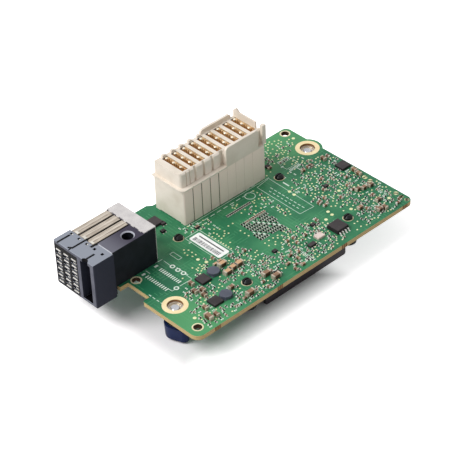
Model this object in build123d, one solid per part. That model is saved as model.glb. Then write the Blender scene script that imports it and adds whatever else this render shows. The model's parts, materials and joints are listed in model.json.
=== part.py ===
"""A mezzanine network card for a blade server.

A small circuit board lies component side up. A tall cream stacking connector stands on its
top face, a dark right-angle fabric connector hangs over its left edge, and a finned heat sink
hangs below it on four spring-loaded push pins, over the network chip. Two captive screws with
blue knobs turn and travel in steel ferrules at opposite ends of the board.

Every piece is first placed from the front left corner of the board's top face: +X runs along
the front edge, +Y towards the back edge, +Z up. At the end all of it is moved, so that the
origin lies in the middle of the whole footprint, on the surface the heat sink stands on.
Lengths are millimetres.
"""
import os
from math import cos, pi, sin

from build123d import *

# Circuit board
board_left_zone = 29.9
board_right_zone = 22.9
board_front_zone = 8.85
board_back_margin = 1.5
board_thickness = 1.65
board_front_left_radius = 3.0
board_front_right_radius = 2.4
board_back_right_radius = 2.0
board_notch_depth = 2.9
board_notch_front = 26.0
board_notch_back = 36.5
board_tongue_reach = 0.5
board_lobe_depth = 1.4
board_lobe_end = 34.3
board_lobe_run = 1.7
board_ear_radius = 5.4
board_edge_radius = 0.8

# Tooling holes, from the board's edges
tooling_radius = 1.45
tooling_front_x = 3.8
tooling_front_y = 4.05
tooling_notch_x = 5.6
tooling_notch_inset = 1.0
tooling_back_inset_x = 3.05
tooling_back_inset_y = 2.6

# Captive screws, with the board's holes for them
screw_hole_radius = 2.7
near_screw_x = 6.05
near_screw_y = 17.2
far_screw_inset_x = 3.7
far_screw_inset_y = 14.5
ferrule_gap = 0.08
ferrule_sink = 0.75
ferrule_flange_radius = 4.0
ferrule_flange_thickness = 0.8
ferrule_barrel_radius = 2.1
ferrule_barrel_length = 2.1
ferrule_pocket_radius = 2.2
ferrule_pocket_depth = 1.0
screw_radius = 1.6
screw_running_gap = 0.06
screw_tip_stand = 0.35
screw_tip_chamfer = 0.3
screw_head_radius = 2.8
screw_head_height = 1.2
screw_socket_width = 0.7
screw_socket_reach = 1.7
screw_socket_depth = 0.8
screw_travel = 3.9
ring_thickness = 0.45
ring_groove_depth = 0.45
knob_hub_radius = 4.0
knob_wing_radius = 1.9
knob_wing_reach = 4.2
knob_stop_gap = 0.4
knob_draft = 3.0
knob_foot_chamfer = 0.5
knob_cup_radius = 2.95
knob_cup_depth = 3.1
knob_head_pocket = 1.4
knob_near_turn = -98.0
knob_far_turn = 82.0
knob_floor_gap = 0.2
screw_spring_radius = 2.5
screw_spring_wire = 0.3
screw_spring_turns = 4
spring_step_count = 8
spring_seat_gap = 0.12

# Network chip, thermal pad and heat sink, hung from the push pins
chip_side = 25.0
chip_solder_height = 0.35
chip_substrate_height = 0.9
chip_cap_side = 20.0
chip_cap_height = 1.2
pad_side = 18.0
pad_thickness = 0.3
pin_spacing_x = 47.2
pin_spacing_y = 32.9
sink_left_clear = 6.2
sink_right_clear = 3.3
sink_width = 36.9
sink_base_thickness = 2.2
sink_fin_height = 5.7
sink_fin_count = 12
sink_fin_thickness = 1.0
sink_fin_chamfer = 0.5
sink_ear_radius = 3.3
pin_hole_radius = 1.5
pin_shaft_radius = 1.3
pin_head_radius = 2.95
pin_head_height = 0.9
pin_head_drop = 2.1
pin_barb_radius = 1.6
pin_barb_height = 0.7
pin_tip_radius = 0.8
pin_tip_height = 1.5
pin_slot_width = 0.4
pin_spring_radius = 2.0
pin_spring_wire = 0.35
pin_spring_turns = 3

# Tall stacking connector
stack_left_clear = 6.2
stack_end_skin = 0.33
stack_front_clear = 3.35
stack_depth = 15.0
stack_pitch = 3.93
stack_count = 9
stack_right_skin = 1.7
stack_wafer_height = 13.9
stack_open_seam_count = 4
stack_open_gap = 0.12
stack_open_chamfer = 0.22
stack_tight_gap = 0.03
stack_tight_chamfer = 0.06
stack_corner_radius = 0.7
stack_foot_height = 0.35
stack_foot_length = 2.2
stack_rim_thickness = 0.6
stack_rim_lip = 0.75
stack_rim_front_lip = 0.35
stack_rim_radius = 1.8
stack_rim_notch = 0.4
stack_block_top = 19.7
stack_block_front_inset = 1.4
stack_block_back_inset = 0.5
stack_block_radius = 1.0
stack_post_top = 20.3
stack_post_depth = 1.1
stack_post_chamfer = 0.5
stack_gap_width = 1.1
stack_gap_depth = 0.8
stack_gap_shift = 0.15
stack_nick_width = 0.4
stack_nick_depth = 0.5
stack_nick_shares = (0.636, 1.048)
stack_slot_offset = 2.47
stack_slot_width = 2.5
stack_slot_back_wall = 1.1
stack_slot_floor = 15.6
stack_low_count = 5
stack_spike_width = 1.4
stack_spike_depth = 1.0
stack_spike_top = 20.6
stack_wall_thickness = 0.9
stack_wall_lap = 0.18
stack_wall_groove = 2.0
stack_near_top = 21.7
stack_far_start = 1.3
stack_far_end = 2.2
stack_far_top = 21.45
stack_wall_radius = 1.2
stack_end_top = 22.2
stack_end_thickness = 0.6
stack_end_length = 11.0
stack_point_top = 23.5
stack_point_length = 3.0
stack_fin_length = 1.3
stack_fin_reach = 1.0
stack_contact_count = 12
stack_contact_pitch = 0.895
stack_contact_width = 0.45
stack_group_count = 4
stack_ground_width = 0.7
stack_contact_thickness = 0.3
stack_contact_top = 19.55
stack_contact_bow = 1.0
stack_contact_shoulder = 0.55

# Right-angle fabric connector
fabric_front = -10.5
fabric_hood_length = 7.3
fabric_hood_step = 1.25
fabric_far_skin = 0.11
fabric_bottom = -3.0
fabric_top = 14.65
fabric_hood_chamfer = 0.2
fabric_hood_back_chamfer = 0.3
fabric_seat_gap = 0.05
fabric_guide_inset = 1.1
fabric_guide_width = 7.2
fabric_body_drop = 0.35
fabric_body_back = 16.8
fabric_board_gap = 0.3
fabric_guide_hole_radius = 2.0
fabric_guide_hole_x = 7.9
fabric_guide_hole_inset = 4.5
fabric_guide_hole_depth = 9.0
fabric_guide_hole_chamfer = 0.4
fabric_wafer_count = 3
fabric_wafer_pitch = 3.83
fabric_wafer_gap = 0.1
fabric_shield_width = 3.1
fabric_shield_start = 0.45
fabric_shield_thickness = 0.3
fabric_shield_back = 11.9
fabric_shield_lip = 1.1
fabric_rib_height = 0.08
fabric_rib_width = 0.7
fabric_plate_front = 12.2
fabric_plate_back = 17.15
fabric_plate_near_inset = 1.25
fabric_plate_far_inset = 0.2
fabric_plate_thickness = 0.3
fabric_plate_tab_count = 5
fabric_plate_tab_reach = 0.3
fabric_plate_tab_width = 1.4
fabric_plate_foot = 1.2
fabric_slot_near = 1.8
fabric_slot_width = 4.9
fabric_slot_depth = 5.6
fabric_slot_lid = 1.3
fabric_slot_sill = 0.8
fabric_slot_notch_radius = 1.5
fabric_slot_notch_set = 0.45
fabric_slot_slit = 4.4
fabric_cell_rows = 11
fabric_cell_pitch = 1.3
fabric_cell_bottom = 1.45
fabric_cell_width = 2.9
fabric_cell_height = 0.85
fabric_cell_depth = 2.0
fabric_blade_width = 2.3
fabric_blade_height = 0.35
fabric_blade_length = 1.8
fabric_short_blade_width = 1.5
fabric_short_blade_length = 1.5
fabric_short_blade_shift = 0.5
fabric_window_side = 1.0
fabric_window_depth = 1.6
fabric_window_x = -4.45
fabric_guide_window_count = 2
fabric_groove_width = 0.5
fabric_groove_depth = 0.5
fabric_slit_width = 0.35
fabric_slit_depth = 0.35
fabric_far_slit = 4.4
fabric_seam_slit = 1.6
fabric_corner_notch = 1.0

# Label and board parts
label_length = 14.9
label_width = 4.9
label_radius = 0.7
label_thickness = 0.1
label_left_clear = 2.2
label_back_clear = 2.55
flash_place = ("middle", 860, "front", -16)
flash_side = 5.2
flash_height = 1.75
flash_stand = 0.12
flash_draft = 8.0
flash_lead_pitch = 1.27
flash_lead_count = 4
flash_lead_width = 0.42
flash_lead_thickness = 0.2
flash_lead_reach = 1.35
flash_lead_foot = 0.7
crystal_length = 3.2
crystal_width = 2.5
crystal_height = 0.8
crystal_lid_inset = 0.25
crystal_lid_height = 0.15
crystal_radius = 0.35
regulator_side = 4.0
regulator_height = 0.9
regulator_chamfer = 0.12
inductor_radius = 2.2
inductor_height = 1.3
inductor_foot = 0.25
inductor_foot_share = 0.8
controller_length = 4.0
controller_width = 4.4
controller_height = 1.0
logic_length = 2.9
logic_width = 1.7
logic_height = 0.8
driver_length = 6.0
driver_width = 4.4
driver_height = 2.2
capacitor_cap_share = 0.2
capacitor_cap_proud = 0.04
large_capacitor_length = 3.2
large_capacitor_width = 1.6
large_capacitor_height = 1.5
medium_capacitor_length = 2.0
medium_capacitor_width = 1.25
medium_capacitor_height = 1.2
small_capacitor_length = 1.6
small_capacitor_width = 0.8
small_capacitor_height = 0.8

# Places of the board parts: what X is counted from and how far, then the same for Y, and the
# turn in degrees. Distances are steps of the layout grid, but "middle" counts thousandths of
# the way from the left push pins to the right ones. "edge" is the board's right edge, "front"
# and "back" are the two rows of push pins.
layout_step = 0.1
middle_share = 0.001
large_capacitor_places = [
    ("left", 3, "front", 120, 0), ("left", 14, "front", 82, 0), ("left", 43, "front", 83, 0),
    ("left", -11, "front", 77, 0), ("middle", 148, "front", -18, 0),
    ("middle", 178, "front", -50, 0), ("left", -33, "front", -50, 0),
    ("left", -207, "front", -42, 90),
]
medium_capacitor_places = [
    ("left", -134, "front", 120, 90), ("left", -144, "front", 48, 90),
    ("left", -130, "front", 70, 90), ("left", -184, "front", 0, 90),
    ("left", -153, "front", 83, 90), ("left", -181, "front", -49, 90),
    ("left", -56, "front", 14, 0), ("edge", -94, "front", 83, 0), ("edge", -73, "front", 74, 0),
    ("edge", -46, "front", 68, 0), ("edge", -22, "back", -160, 90), ("edge", -26, "front", 143, 90),
    ("edge", -90, "front", -8, 0), ("edge", -124, "front", -48, 0),
    ("edge", -104, "front", -53, 90), ("right", 65, "front", 6, 0), ("edge", -48, "back", -36, 90),
]
small_capacitor_places = [
    ("left", -10, "front", 139, 0), ("left", 11, "front", 141, 0), ("left", -61, "front", -55, 0),
    ("middle", 407, "front", -5, 0), ("middle", 426, "front", -34, 90),
    ("middle", 403, "front", -68, 0), ("middle", 331, "front", -31, 0),
    ("middle", 331, "front", -69, 90), ("right", 83, "back", -34, 0),
    ("middle", 174, "back", -2, 0), ("right", 123, "back", -32, 90), ("right", 13, "back", 61, 0),
]
underside_capacitor_places = [
    ("left", -99, "back", -36, 0), ("left", -59, "back", -36, 0), ("right", 89, "back", 14, 90),
    ("edge", -100, "front", 96, 90), ("edge", -100, "front", 133, 90),
    ("left", -139, "back", -171, 90), ("left", -139, "back", -134, 90),
]
regulator_places = [
    ("left", -91, "front", 110, 0), ("left", -139, "front", 1, 0), ("edge", -30, "back", -113, 0),
]
inductor_places = [
    ("left", -43, "front", 112), ("left", -95, "front", -2),
]
crystal_place = ("middle", 701, "front", -3)
logic_place = ("middle", 600, "front", -16)
controller_place = ("left", 1, "back", 121)
driver_place = ("edge", -85, "front", -48)

# One overrun serves every cut that passes right through
overrun = 0.5

# Values that follow from the sizes above
board_length = board_left_zone + pin_spacing_x + board_right_zone
pin_centre_x = board_left_zone + pin_spacing_x / 2
pin_centre_y = board_front_zone + pin_spacing_y / 2
board_width = board_front_zone + pin_spacing_y + stack_front_clear + stack_depth + board_back_margin
board_bottom = -board_thickness
far_screw_x = board_length - far_screw_inset_x
far_screw_y = board_width - far_screw_inset_y
screw_places = {"near": (near_screw_x, near_screw_y), "far": (far_screw_x, far_screw_y)}
knob_turns = {"near": knob_near_turn, "far": knob_far_turn}
tooling_places = [
    (tooling_front_x, tooling_front_y),
    (tooling_notch_x, board_notch_back - tooling_notch_inset),
    (board_length - tooling_back_inset_x, board_width - tooling_back_inset_y),
]
pin_places = [
    (pin_centre_x + side * pin_spacing_x / 2, pin_centre_y + end * pin_spacing_y / 2)
    for side in (-1, 1) for end in (-1, 1)
]
large_capacitor = (large_capacitor_length, large_capacitor_width, large_capacitor_height)
medium_capacitor = (medium_capacitor_length, medium_capacitor_width, medium_capacitor_height)
small_capacitor = (small_capacitor_length, small_capacitor_width, small_capacitor_height)
chip_bottom = board_bottom - chip_solder_height - chip_substrate_height - chip_cap_height
sink_top = chip_bottom - pad_thickness
sink_base_bottom = sink_top - sink_base_thickness
sink_bottom = sink_base_bottom - sink_fin_height
sink_fin_length = pin_spacing_x - sink_left_clear - sink_right_clear
sink_x = pin_centre_x + (sink_left_clear - sink_right_clear) / 2
flange_bottom = board_bottom - ferrule_flange_thickness
ferrule_bottom = flange_bottom - ferrule_barrel_length
pocket_floor = -ferrule_sink - ferrule_pocket_depth
knob_top = flange_bottom - screw_travel - knob_stop_gap
knob_bottom = sink_bottom + knob_floor_gap
stack_left = board_left_zone + stack_left_clear
stack_front = board_front_zone + pin_spacing_y + stack_front_clear
stack_right = stack_left + stack_end_skin + stack_count * stack_pitch + stack_right_skin
stack_grid = stack_left + stack_end_skin
stack_back = stack_front + stack_depth
stack_rim_top = stack_wafer_height + stack_rim_thickness
stack_block_front = stack_front + stack_block_front_inset
stack_block_back = stack_back - stack_block_back_inset
stack_row_front = stack_block_front + stack_post_depth
stack_row_back = stack_block_back - stack_slot_back_wall
stack_wall_left = stack_grid + stack_low_count * stack_pitch - stack_wall_lap
fabric_near = board_notch_back
fabric_hood_back = fabric_front + fabric_hood_length
fabric_guide_back = fabric_hood_back + fabric_hood_step
fabric_body_top = fabric_top - fabric_body_drop
fabric_guide_near = fabric_near + fabric_guide_inset
fabric_wafer_start = fabric_guide_near + fabric_guide_width
fabric_far = fabric_wafer_start + fabric_wafer_count * fabric_wafer_pitch + fabric_far_skin
fabric_plate_near = fabric_near + fabric_plate_near_inset
fabric_plate_far = fabric_far - fabric_plate_far_inset
footprint_left = fabric_front
footprint_right = far_screw_x + board_ear_radius
footprint_back = board_width + board_lobe_depth


def block(x0, x1, y0, y1, z0, z1):
    """A box between two corners."""
    return Pos((x0 + x1) / 2, (y0 + y1) / 2, (z0 + z1) / 2) * Box(x1 - x0, y1 - y0, z1 - z0)


def rod(place, z0, z1, radius):
    """An upright cylinder at a place on the board, from z0 to z1."""
    return Pos(place[0], place[1], (z0 + z1) / 2) * Cylinder(radius, z1 - z0)


def turned(place, profile):
    """A profile of radius and height pairs, turned about the upright line through a place."""
    face = Plane.XZ * make_face(Polyline(*profile, close=True))
    return Pos(place[0], place[1]) * revolve(face, Axis.Z)


def corner(shape, x, y):
    """The vertex of a flat shape that lies nearest to a point."""
    return min(shape.vertices(), key=lambda v: (v.X - x) ** 2 + (v.Y - y) ** 2)


def coil(place, z0, z1, radius, wire, turns):
    """A compression spring of square wire between two heights, bent in short straight steps."""
    low = z0 + spring_seat_gap + wire / 2
    height = z1 - spring_seat_gap - wire / 2 - low
    count = turns * spring_step_count
    points = []
    for step in range(count + 1):
        angle = 2 * pi * step / spring_step_count
        points.append((place[0] + radius * cos(angle), place[1] + radius * sin(angle),
                       low + height * step / count))
    path = Polyline(*points)
    section = (path ^ 0) * Rectangle(wire, wire)
    return sweep(section, path=path, transition=Transition.RIGHT)


def on_board(place):
    """X and Y of a place that is counted from the push pins or from the board's right edge."""
    along, x, across, y = place[:4]
    starts = {
        "left": board_left_zone,
        "right": board_left_zone + pin_spacing_x,
        "edge": board_length,
        "front": board_front_zone,
        "back": board_front_zone + pin_spacing_y,
    }
    if along == "middle":
        return board_left_zone + x * middle_share * pin_spacing_x, starts[across] + y * layout_step
    return starts[along] + x * layout_step, starts[across] + y * layout_step


def circuit_board():
    """The laminate: notched left edge, an ear round the far screw and a lobe at the back."""
    back = board_width + board_lobe_depth
    plan = make_face(Polyline(
        (0, 0), (board_length, 0), (board_length, board_width),
        (board_lobe_end + board_lobe_run, board_width), (board_lobe_end, back),
        (-board_tongue_reach, back), (-board_tongue_reach, board_notch_back),
        (board_notch_depth, board_notch_back), (board_notch_depth, board_notch_front),
        (0, board_notch_front), close=True))
    plan = fillet(corner(plan, 0, 0), board_front_left_radius)
    plan = fillet(corner(plan, board_length, 0), board_front_right_radius)
    plan = fillet(corner(plan, board_length, board_width), board_back_right_radius)
    plan = fillet(corner(plan, 0, board_notch_front), board_edge_radius)
    plan = fillet(corner(plan, -board_tongue_reach, back), board_edge_radius)
    plan += Pos(far_screw_x, far_screw_y) * Circle(board_ear_radius)
    for place in screw_places.values():
        plan -= Pos(*place) * Circle(screw_hole_radius)
    for place in tooling_places:
        plan -= Pos(*place) * Circle(tooling_radius)
    for place in pin_places:
        plan -= Pos(*place) * Circle(pin_hole_radius)
    return extrude(plan, -board_thickness)


def ferrule(place):
    """A flanged steel sleeve pressed into the board, with a pocket at its top for the ring."""
    shank = screw_hole_radius - ferrule_gap
    bore = screw_radius + screw_running_gap
    return turned(place, [
        (bore, ferrule_bottom), (ferrule_barrel_radius, ferrule_bottom),
        (ferrule_barrel_radius, flange_bottom), (ferrule_flange_radius, flange_bottom),
        (ferrule_flange_radius, board_bottom), (shank, board_bottom),
        (shank, -ferrule_sink), (ferrule_pocket_radius, -ferrule_sink),
        (ferrule_pocket_radius, pocket_floor), (bore, pocket_floor),
    ])


def retaining_ring(place):
    """The snap ring that sits in the screw's groove and stops on the ferrule's pocket floor."""
    inner = screw_radius - ring_groove_depth + screw_running_gap
    outer = ferrule_pocket_radius - screw_running_gap
    return turned(place, [
        (inner, pocket_floor), (outer, pocket_floor),
        (outer, pocket_floor + ring_thickness), (inner, pocket_floor + ring_thickness),
    ])


def captive_screw(place):
    """The screw: tip with a ring groove, plain shank, and a head with a cross recess below."""
    neck = screw_radius - ring_groove_depth
    groove_low = pocket_floor - screw_running_gap
    groove_high = pocket_floor + ring_thickness + screw_running_gap
    tip = groove_high + screw_tip_stand
    head_low = knob_bottom + knob_head_pocket - screw_head_height
    head_high = head_low + screw_head_height
    screw = turned(place, [
        (0, head_low), (screw_head_radius, head_low), (screw_head_radius, head_high),
        (screw_radius, head_high), (screw_radius, groove_low), (neck, groove_low),
        (neck, groove_high), (screw_radius, groove_high), (screw_radius, tip - screw_tip_chamfer),
        (screw_radius - screw_tip_chamfer, tip), (0, tip),
    ])
    for turn in (0, 90):
        arm = Rot(0, 0, turn) * Box(2 * screw_socket_reach, screw_socket_width, 2 * screw_socket_depth)
        screw -= Pos(place[0], place[1], head_low) * arm
    return screw


def knob(place, turn):
    """The moulded thumb knob: a round hub with one wing, drafted, cupped over the spring."""
    wing_place = (knob_wing_reach, 0)
    outline = Circle(knob_hub_radius).edges() + (Pos(*wing_place) * Circle(knob_wing_radius)).edges()
    plan = make_hull(outline)
    body = extrude(Pos(0, 0, knob_top) * plan, knob_bottom - knob_top, taper=knob_draft)
    body = chamfer(body.faces().sort_by(Axis.Z)[0].edges(), knob_foot_chamfer)
    body = Pos(place[0], place[1]) * Rot(0, 0, turn) * body
    body -= rod(place, knob_top - knob_cup_depth, knob_top + overrun, knob_cup_radius)
    body -= rod(place, knob_bottom - overrun, knob_bottom + knob_head_pocket, screw_head_radius)
    body -= rod(place, knob_bottom, knob_top, screw_radius)
    return body


def network_chip():
    """The flip-chip package below the board: a square substrate with a stiff cap."""
    substrate_top = board_bottom - chip_solder_height
    substrate_bottom = substrate_top - chip_substrate_height
    half = chip_side / 2
    cap_half = chip_cap_side / 2
    x, y = pin_centre_x, pin_centre_y
    package = block(x - half, x + half, y - half, y + half, substrate_bottom, substrate_top)
    package += block(x - cap_half, x + cap_half, y - cap_half, y + cap_half, chip_bottom,
                     substrate_bottom)
    return package


def thermal_pad():
    """The soft pad squeezed between the chip's cap and the heat sink."""
    half = pad_side / 2
    x, y = pin_centre_x, pin_centre_y
    return block(x - half, x + half, y - half, y + half, sink_top, chip_bottom)


def heat_sink():
    """An extruded sink: a base with two rounded straps out to the pins, and fins along X."""
    half_length = sink_fin_length / 2
    half_width = sink_width / 2
    plan = Pos(sink_x, pin_centre_y) * Rectangle(sink_fin_length, sink_width)
    for end in (-1, 1):
        strap_y = pin_centre_y + end * pin_spacing_y / 2
        plan += Pos(pin_centre_x, strap_y) * SlotCenterToCenter(pin_spacing_x, 2 * sink_ear_radius)
    for place in pin_places:
        plan -= Pos(*place) * Circle(pin_hole_radius)
    sink = extrude(Pos(0, 0, sink_base_bottom) * plan, sink_base_thickness)
    step = (sink_width - sink_fin_thickness) / (sink_fin_count - 1)
    fin = make_face(Polyline(
        (sink_x - half_length, sink_base_bottom), (sink_x - half_length, sink_bottom + sink_fin_chamfer),
        (sink_x - half_length + sink_fin_chamfer, sink_bottom),
        (sink_x + half_length - sink_fin_chamfer, sink_bottom),
        (sink_x + half_length, sink_bottom + sink_fin_chamfer),
        (sink_x + half_length, sink_base_bottom), close=True))
    fin = extrude(Plane.XZ * fin, -sink_fin_thickness)
    for number in range(sink_fin_count):
        sink += Pos(0, pin_centre_y - half_width + number * step, 0) * fin
    return sink


def push_pin(place):
    """A moulded push pin: flat head below, split domed barb above the board."""
    head_top = sink_base_bottom - pin_head_drop
    head_low = head_top - pin_head_height
    pin = turned(place, [
        (0, head_low), (pin_head_radius, head_low), (pin_head_radius, head_top),
        (pin_shaft_radius, head_top), (pin_shaft_radius, 0), (pin_barb_radius, 0),
        (pin_barb_radius, pin_barb_height), (pin_tip_radius, pin_tip_height), (0, pin_tip_height),
    ])
    x, y = place
    return pin - block(x - pin_barb_radius - overrun, x + pin_barb_radius + overrun,
                       y - pin_slot_width / 2, y + pin_slot_width / 2, 0,
                       pin_tip_height + overrun)


def pin_spring(place):
    """The spring between a push pin's head and the heat sink's ear."""
    return coil(place, sink_base_bottom - pin_head_drop, sink_base_bottom, pin_spring_radius,
                pin_spring_wire, pin_spring_turns)


def screw_spring(place):
    """The spring inside the knob's cup that holds the captive screw back."""
    return coil(place, knob_top - knob_cup_depth, flange_bottom, screw_spring_radius,
                screw_spring_wire, screw_spring_turns)


def stack_seam(number):
    """Gap and corner cut between a slice and the one before it: open at the low end, then tight."""
    if number <= stack_open_seam_count:
        return stack_open_gap, stack_open_chamfer
    return stack_tight_gap, stack_tight_chamfer


def stack_wafer(number):
    """One upright slice of the stacking connector, standing on two feet."""
    left_gap, left_cut = stack_seam(number)
    right_gap, right_cut = stack_seam(number + 1)
    left = stack_grid + number * stack_pitch + left_gap / 2
    right = stack_grid + (number + 1) * stack_pitch - right_gap / 2
    if number == 0:
        left = stack_left
    if number == stack_count - 1:
        right = stack_right
    plan = make_face(Polyline((left, stack_front), (right, stack_front), (right, stack_back),
                              (left, stack_back), close=True))
    plan = chamfer(corner(plan, left, stack_back), left_cut)
    plan = chamfer(corner(plan, right, stack_front), right_cut)
    plan = chamfer(corner(plan, right, stack_back), right_cut)
    if number == 0:
        plan = fillet(corner(plan, left, stack_front), stack_corner_radius)
    else:
        plan = chamfer(corner(plan, left, stack_front), left_cut)
    wafer = extrude(plan, stack_wafer_height)
    return wafer - block(left - overrun, right + overrun, stack_front + stack_foot_length,
                         stack_back - stack_foot_length, -overrun, stack_foot_height)


def stack_slot_starts():
    """The left edge of each contact slot, along X."""
    return [stack_grid + stack_slot_offset + number * stack_pitch for number in range(stack_count)]


def stack_rim():
    """The cap's base plate: a lip over the low slices, with a small notch at each seam."""
    plan = make_face(Polyline(
        (stack_left - stack_rim_lip, stack_front - stack_rim_front_lip),
        (stack_wall_left, stack_front - stack_rim_front_lip), (stack_wall_left, stack_front),
        (stack_right, stack_front), (stack_right, stack_back),
        (stack_left - stack_rim_lip, stack_back), close=True))
    plan = fillet(corner(plan, stack_left - stack_rim_lip, stack_front - stack_rim_front_lip),
                  stack_rim_radius)
    for number in range(1, stack_open_seam_count + 1):
        notch = Pos(stack_grid + number * stack_pitch, stack_front - stack_rim_front_lip)
        plan -= notch * Rectangle(stack_rim_notch, 2 * stack_rim_notch)
    return extrude(Pos(0, 0, stack_wafer_height) * plan, stack_rim_thickness)


def stack_block():
    """The slotted block's outside: flat top, and a taller row along its front for the posts."""
    plan = make_face(Polyline(
        (stack_grid, stack_block_front), (stack_right, stack_block_front),
        (stack_right, stack_block_back), (stack_grid, stack_block_back), close=True))
    plan = fillet(corner(plan, stack_grid, stack_block_front), stack_block_radius)
    body = extrude(Pos(0, 0, stack_rim_top) * plan, stack_post_top - stack_rim_top)
    body -= block(stack_grid - overrun, stack_right + overrun, stack_row_front,
                  stack_block_back + overrun, stack_block_top, stack_post_top + overrun)
    bevel = make_face(Polyline(
        (stack_block_front, stack_post_top - stack_post_chamfer),
        (stack_block_front, stack_post_top),
        (stack_block_front + stack_post_chamfer, stack_post_top), close=True))
    return body - Pos(stack_grid, 0, 0) * extrude(Plane.YZ * bevel, stack_right - stack_grid)


def stack_post_gaps():
    """What is cut from the front row: gaps between the posts, and two nicks in the first post."""
    cuts = []
    for number, start in enumerate(stack_slot_starts()[1:stack_low_count]):
        x0 = start + stack_gap_shift - stack_gap_width / 2
        x1 = x0 + stack_gap_width
        if number == stack_low_count - 2:
            x1 = stack_wall_left
        cuts.append((x0, x1, stack_gap_depth))
    for share in stack_nick_shares:
        x0 = stack_grid + share * stack_pitch - stack_nick_width / 2
        cuts.append((x0, x0 + stack_nick_width, stack_nick_depth))
    return [block(x0, x1, stack_block_front - overrun, stack_block_front + depth, stack_rim_top,
                  stack_post_top + overrun) for x0, x1, depth in cuts]


def stack_wall(x0, x1, y, z1):
    """An upright wall of the shroud along X, with its two upper corners rounded."""
    face = make_face(Polyline((x0, stack_rim_top), (x1, stack_rim_top), (x1, z1), (x0, z1), close=True))
    face = fillet(face.vertices().sort_by(Axis.Y)[-2:], stack_wall_radius)
    return Pos(0, y, 0) * extrude(Plane.XZ * face, -stack_wall_thickness)


def stack_end_wall():
    """The tall wall at the right end, with a point near its back."""
    far = stack_block_back
    face = make_face(Polyline(
        (far - stack_end_length, stack_rim_top), (far, stack_rim_top), (far, stack_end_top),
        (far - stack_point_length / 2, stack_point_top), (far - stack_point_length, stack_end_top),
        (far - stack_end_length, stack_end_top), close=True))
    return Pos(stack_right - stack_end_thickness, 0, 0) * extrude(Plane.YZ * face, stack_end_thickness)


def stack_shroud():
    """The cream cap: rim, slotted block with posts, spikes behind the low slots, and tall walls."""
    wall_right = stack_right - stack_end_thickness - stack_wall_groove
    shroud = stack_rim() + stack_block()
    for cut in stack_post_gaps():
        shroud -= cut
    shroud += block(stack_wall_left, wall_right, stack_front, stack_block_front, stack_rim_top,
                    stack_block_top)
    shroud += stack_wall(stack_wall_left, wall_right, stack_front, stack_near_top)
    shroud += stack_wall(stack_wall_left + stack_far_start, stack_right - stack_far_end,
                         stack_back - stack_wall_thickness, stack_far_top)
    shroud += stack_end_wall()
    shroud += block(stack_right - stack_end_thickness, stack_right + stack_fin_reach, stack_front,
                    stack_front + stack_fin_length, stack_rim_top, stack_end_top)
    for number, start in enumerate(stack_slot_starts()):
        shroud -= block(start, start + stack_slot_width, stack_row_front, stack_row_back,
                        stack_slot_floor, stack_point_top + overrun)
        if number < stack_low_count:
            middle = start + stack_slot_width / 2
            shroud += block(middle - stack_spike_width / 2, middle + stack_spike_width / 2,
                            stack_block_back - stack_spike_depth, stack_block_back,
                            stack_rim_top, stack_spike_top)
    return shroud


def stack_contacts():
    """Rows of sprung gold beams on the right wall of each slot; each fourth is a wide ground."""
    profile = make_face(Polyline(
        (0, stack_slot_floor), (-stack_contact_thickness, stack_slot_floor),
        (-stack_contact_bow, stack_contact_top - stack_contact_shoulder),
        (0, stack_contact_top), close=True))
    beams = []
    for start in stack_slot_starts():
        for place in range(stack_contact_count):
            y = stack_row_front + (place + 1 / 2) * stack_contact_pitch
            width = stack_contact_width
            if (place + 1) % stack_group_count == 0:
                width = stack_ground_width
            beam = extrude(Plane.XZ * profile, width)
            beams.append(Pos(start + stack_slot_width, y + width / 2, 0) * beam)
    return beams


def fabric_slice(y0, y1, front):
    """A slice of the connector's body between two places along Y: over the board, then down."""
    edge = -board_tongue_reach - fabric_board_gap
    face = make_face(Polyline(
        (front, fabric_bottom), (edge, fabric_bottom), (edge, 0), (fabric_body_back, 0),
        (fabric_body_back, fabric_body_top), (front, fabric_body_top), close=True))
    return Pos(0, y0, 0) * extrude(Plane.XZ * face, y0 - y1)


def fabric_guide_block():
    """The guide module: a solid slice with a round hole down from its top, broken at its edge."""
    body = fabric_slice(fabric_guide_near, fabric_wafer_start - fabric_wafer_gap,
                        fabric_guide_back + fabric_seat_gap)
    wide = fabric_guide_hole_radius + fabric_guide_hole_chamfer
    floor = fabric_body_top - fabric_guide_hole_depth
    return body - turned((fabric_guide_hole_x, fabric_near + fabric_guide_hole_inset), [
        (0, floor), (fabric_guide_hole_radius, floor),
        (fabric_guide_hole_radius, fabric_body_top - fabric_guide_hole_chamfer),
        (wide, fabric_body_top), (wide, fabric_body_top + overrun), (0, fabric_body_top + overrun),
    ])


def fabric_wafer(number):
    """One signal wafer, cut down along its top where its shield lies."""
    near = fabric_wafer_start + number * fabric_wafer_pitch
    body = fabric_slice(near, near + fabric_wafer_pitch - fabric_wafer_gap,
                        fabric_hood_back + fabric_seat_gap)
    return body - block(fabric_hood_back, fabric_shield_back, near - overrun,
                        near + fabric_wafer_pitch, fabric_body_top - fabric_shield_lip,
                        fabric_body_top + overrun)


def fabric_shield(number):
    """A metal strip along the top of one wafer, with a low rib and folded down at both ends."""
    near = fabric_wafer_start + number * fabric_wafer_pitch + fabric_shield_start
    far = near + fabric_shield_width
    middle = (near + far) / 2
    front = fabric_hood_back + 2 * fabric_seat_gap
    low = fabric_body_top - fabric_shield_lip
    back = fabric_shield_back - fabric_seat_gap
    strip = block(front, back, near, far, fabric_body_top - fabric_shield_thickness, fabric_body_top)
    strip += block(front, front + fabric_shield_thickness, near, far, low, fabric_body_top)
    strip += block(back - fabric_shield_thickness, back, near, far, low, fabric_body_top)
    return strip + block(front, back, middle - fabric_rib_width / 2, middle + fabric_rib_width / 2,
                         fabric_body_top, fabric_body_top + fabric_rib_height)


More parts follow.
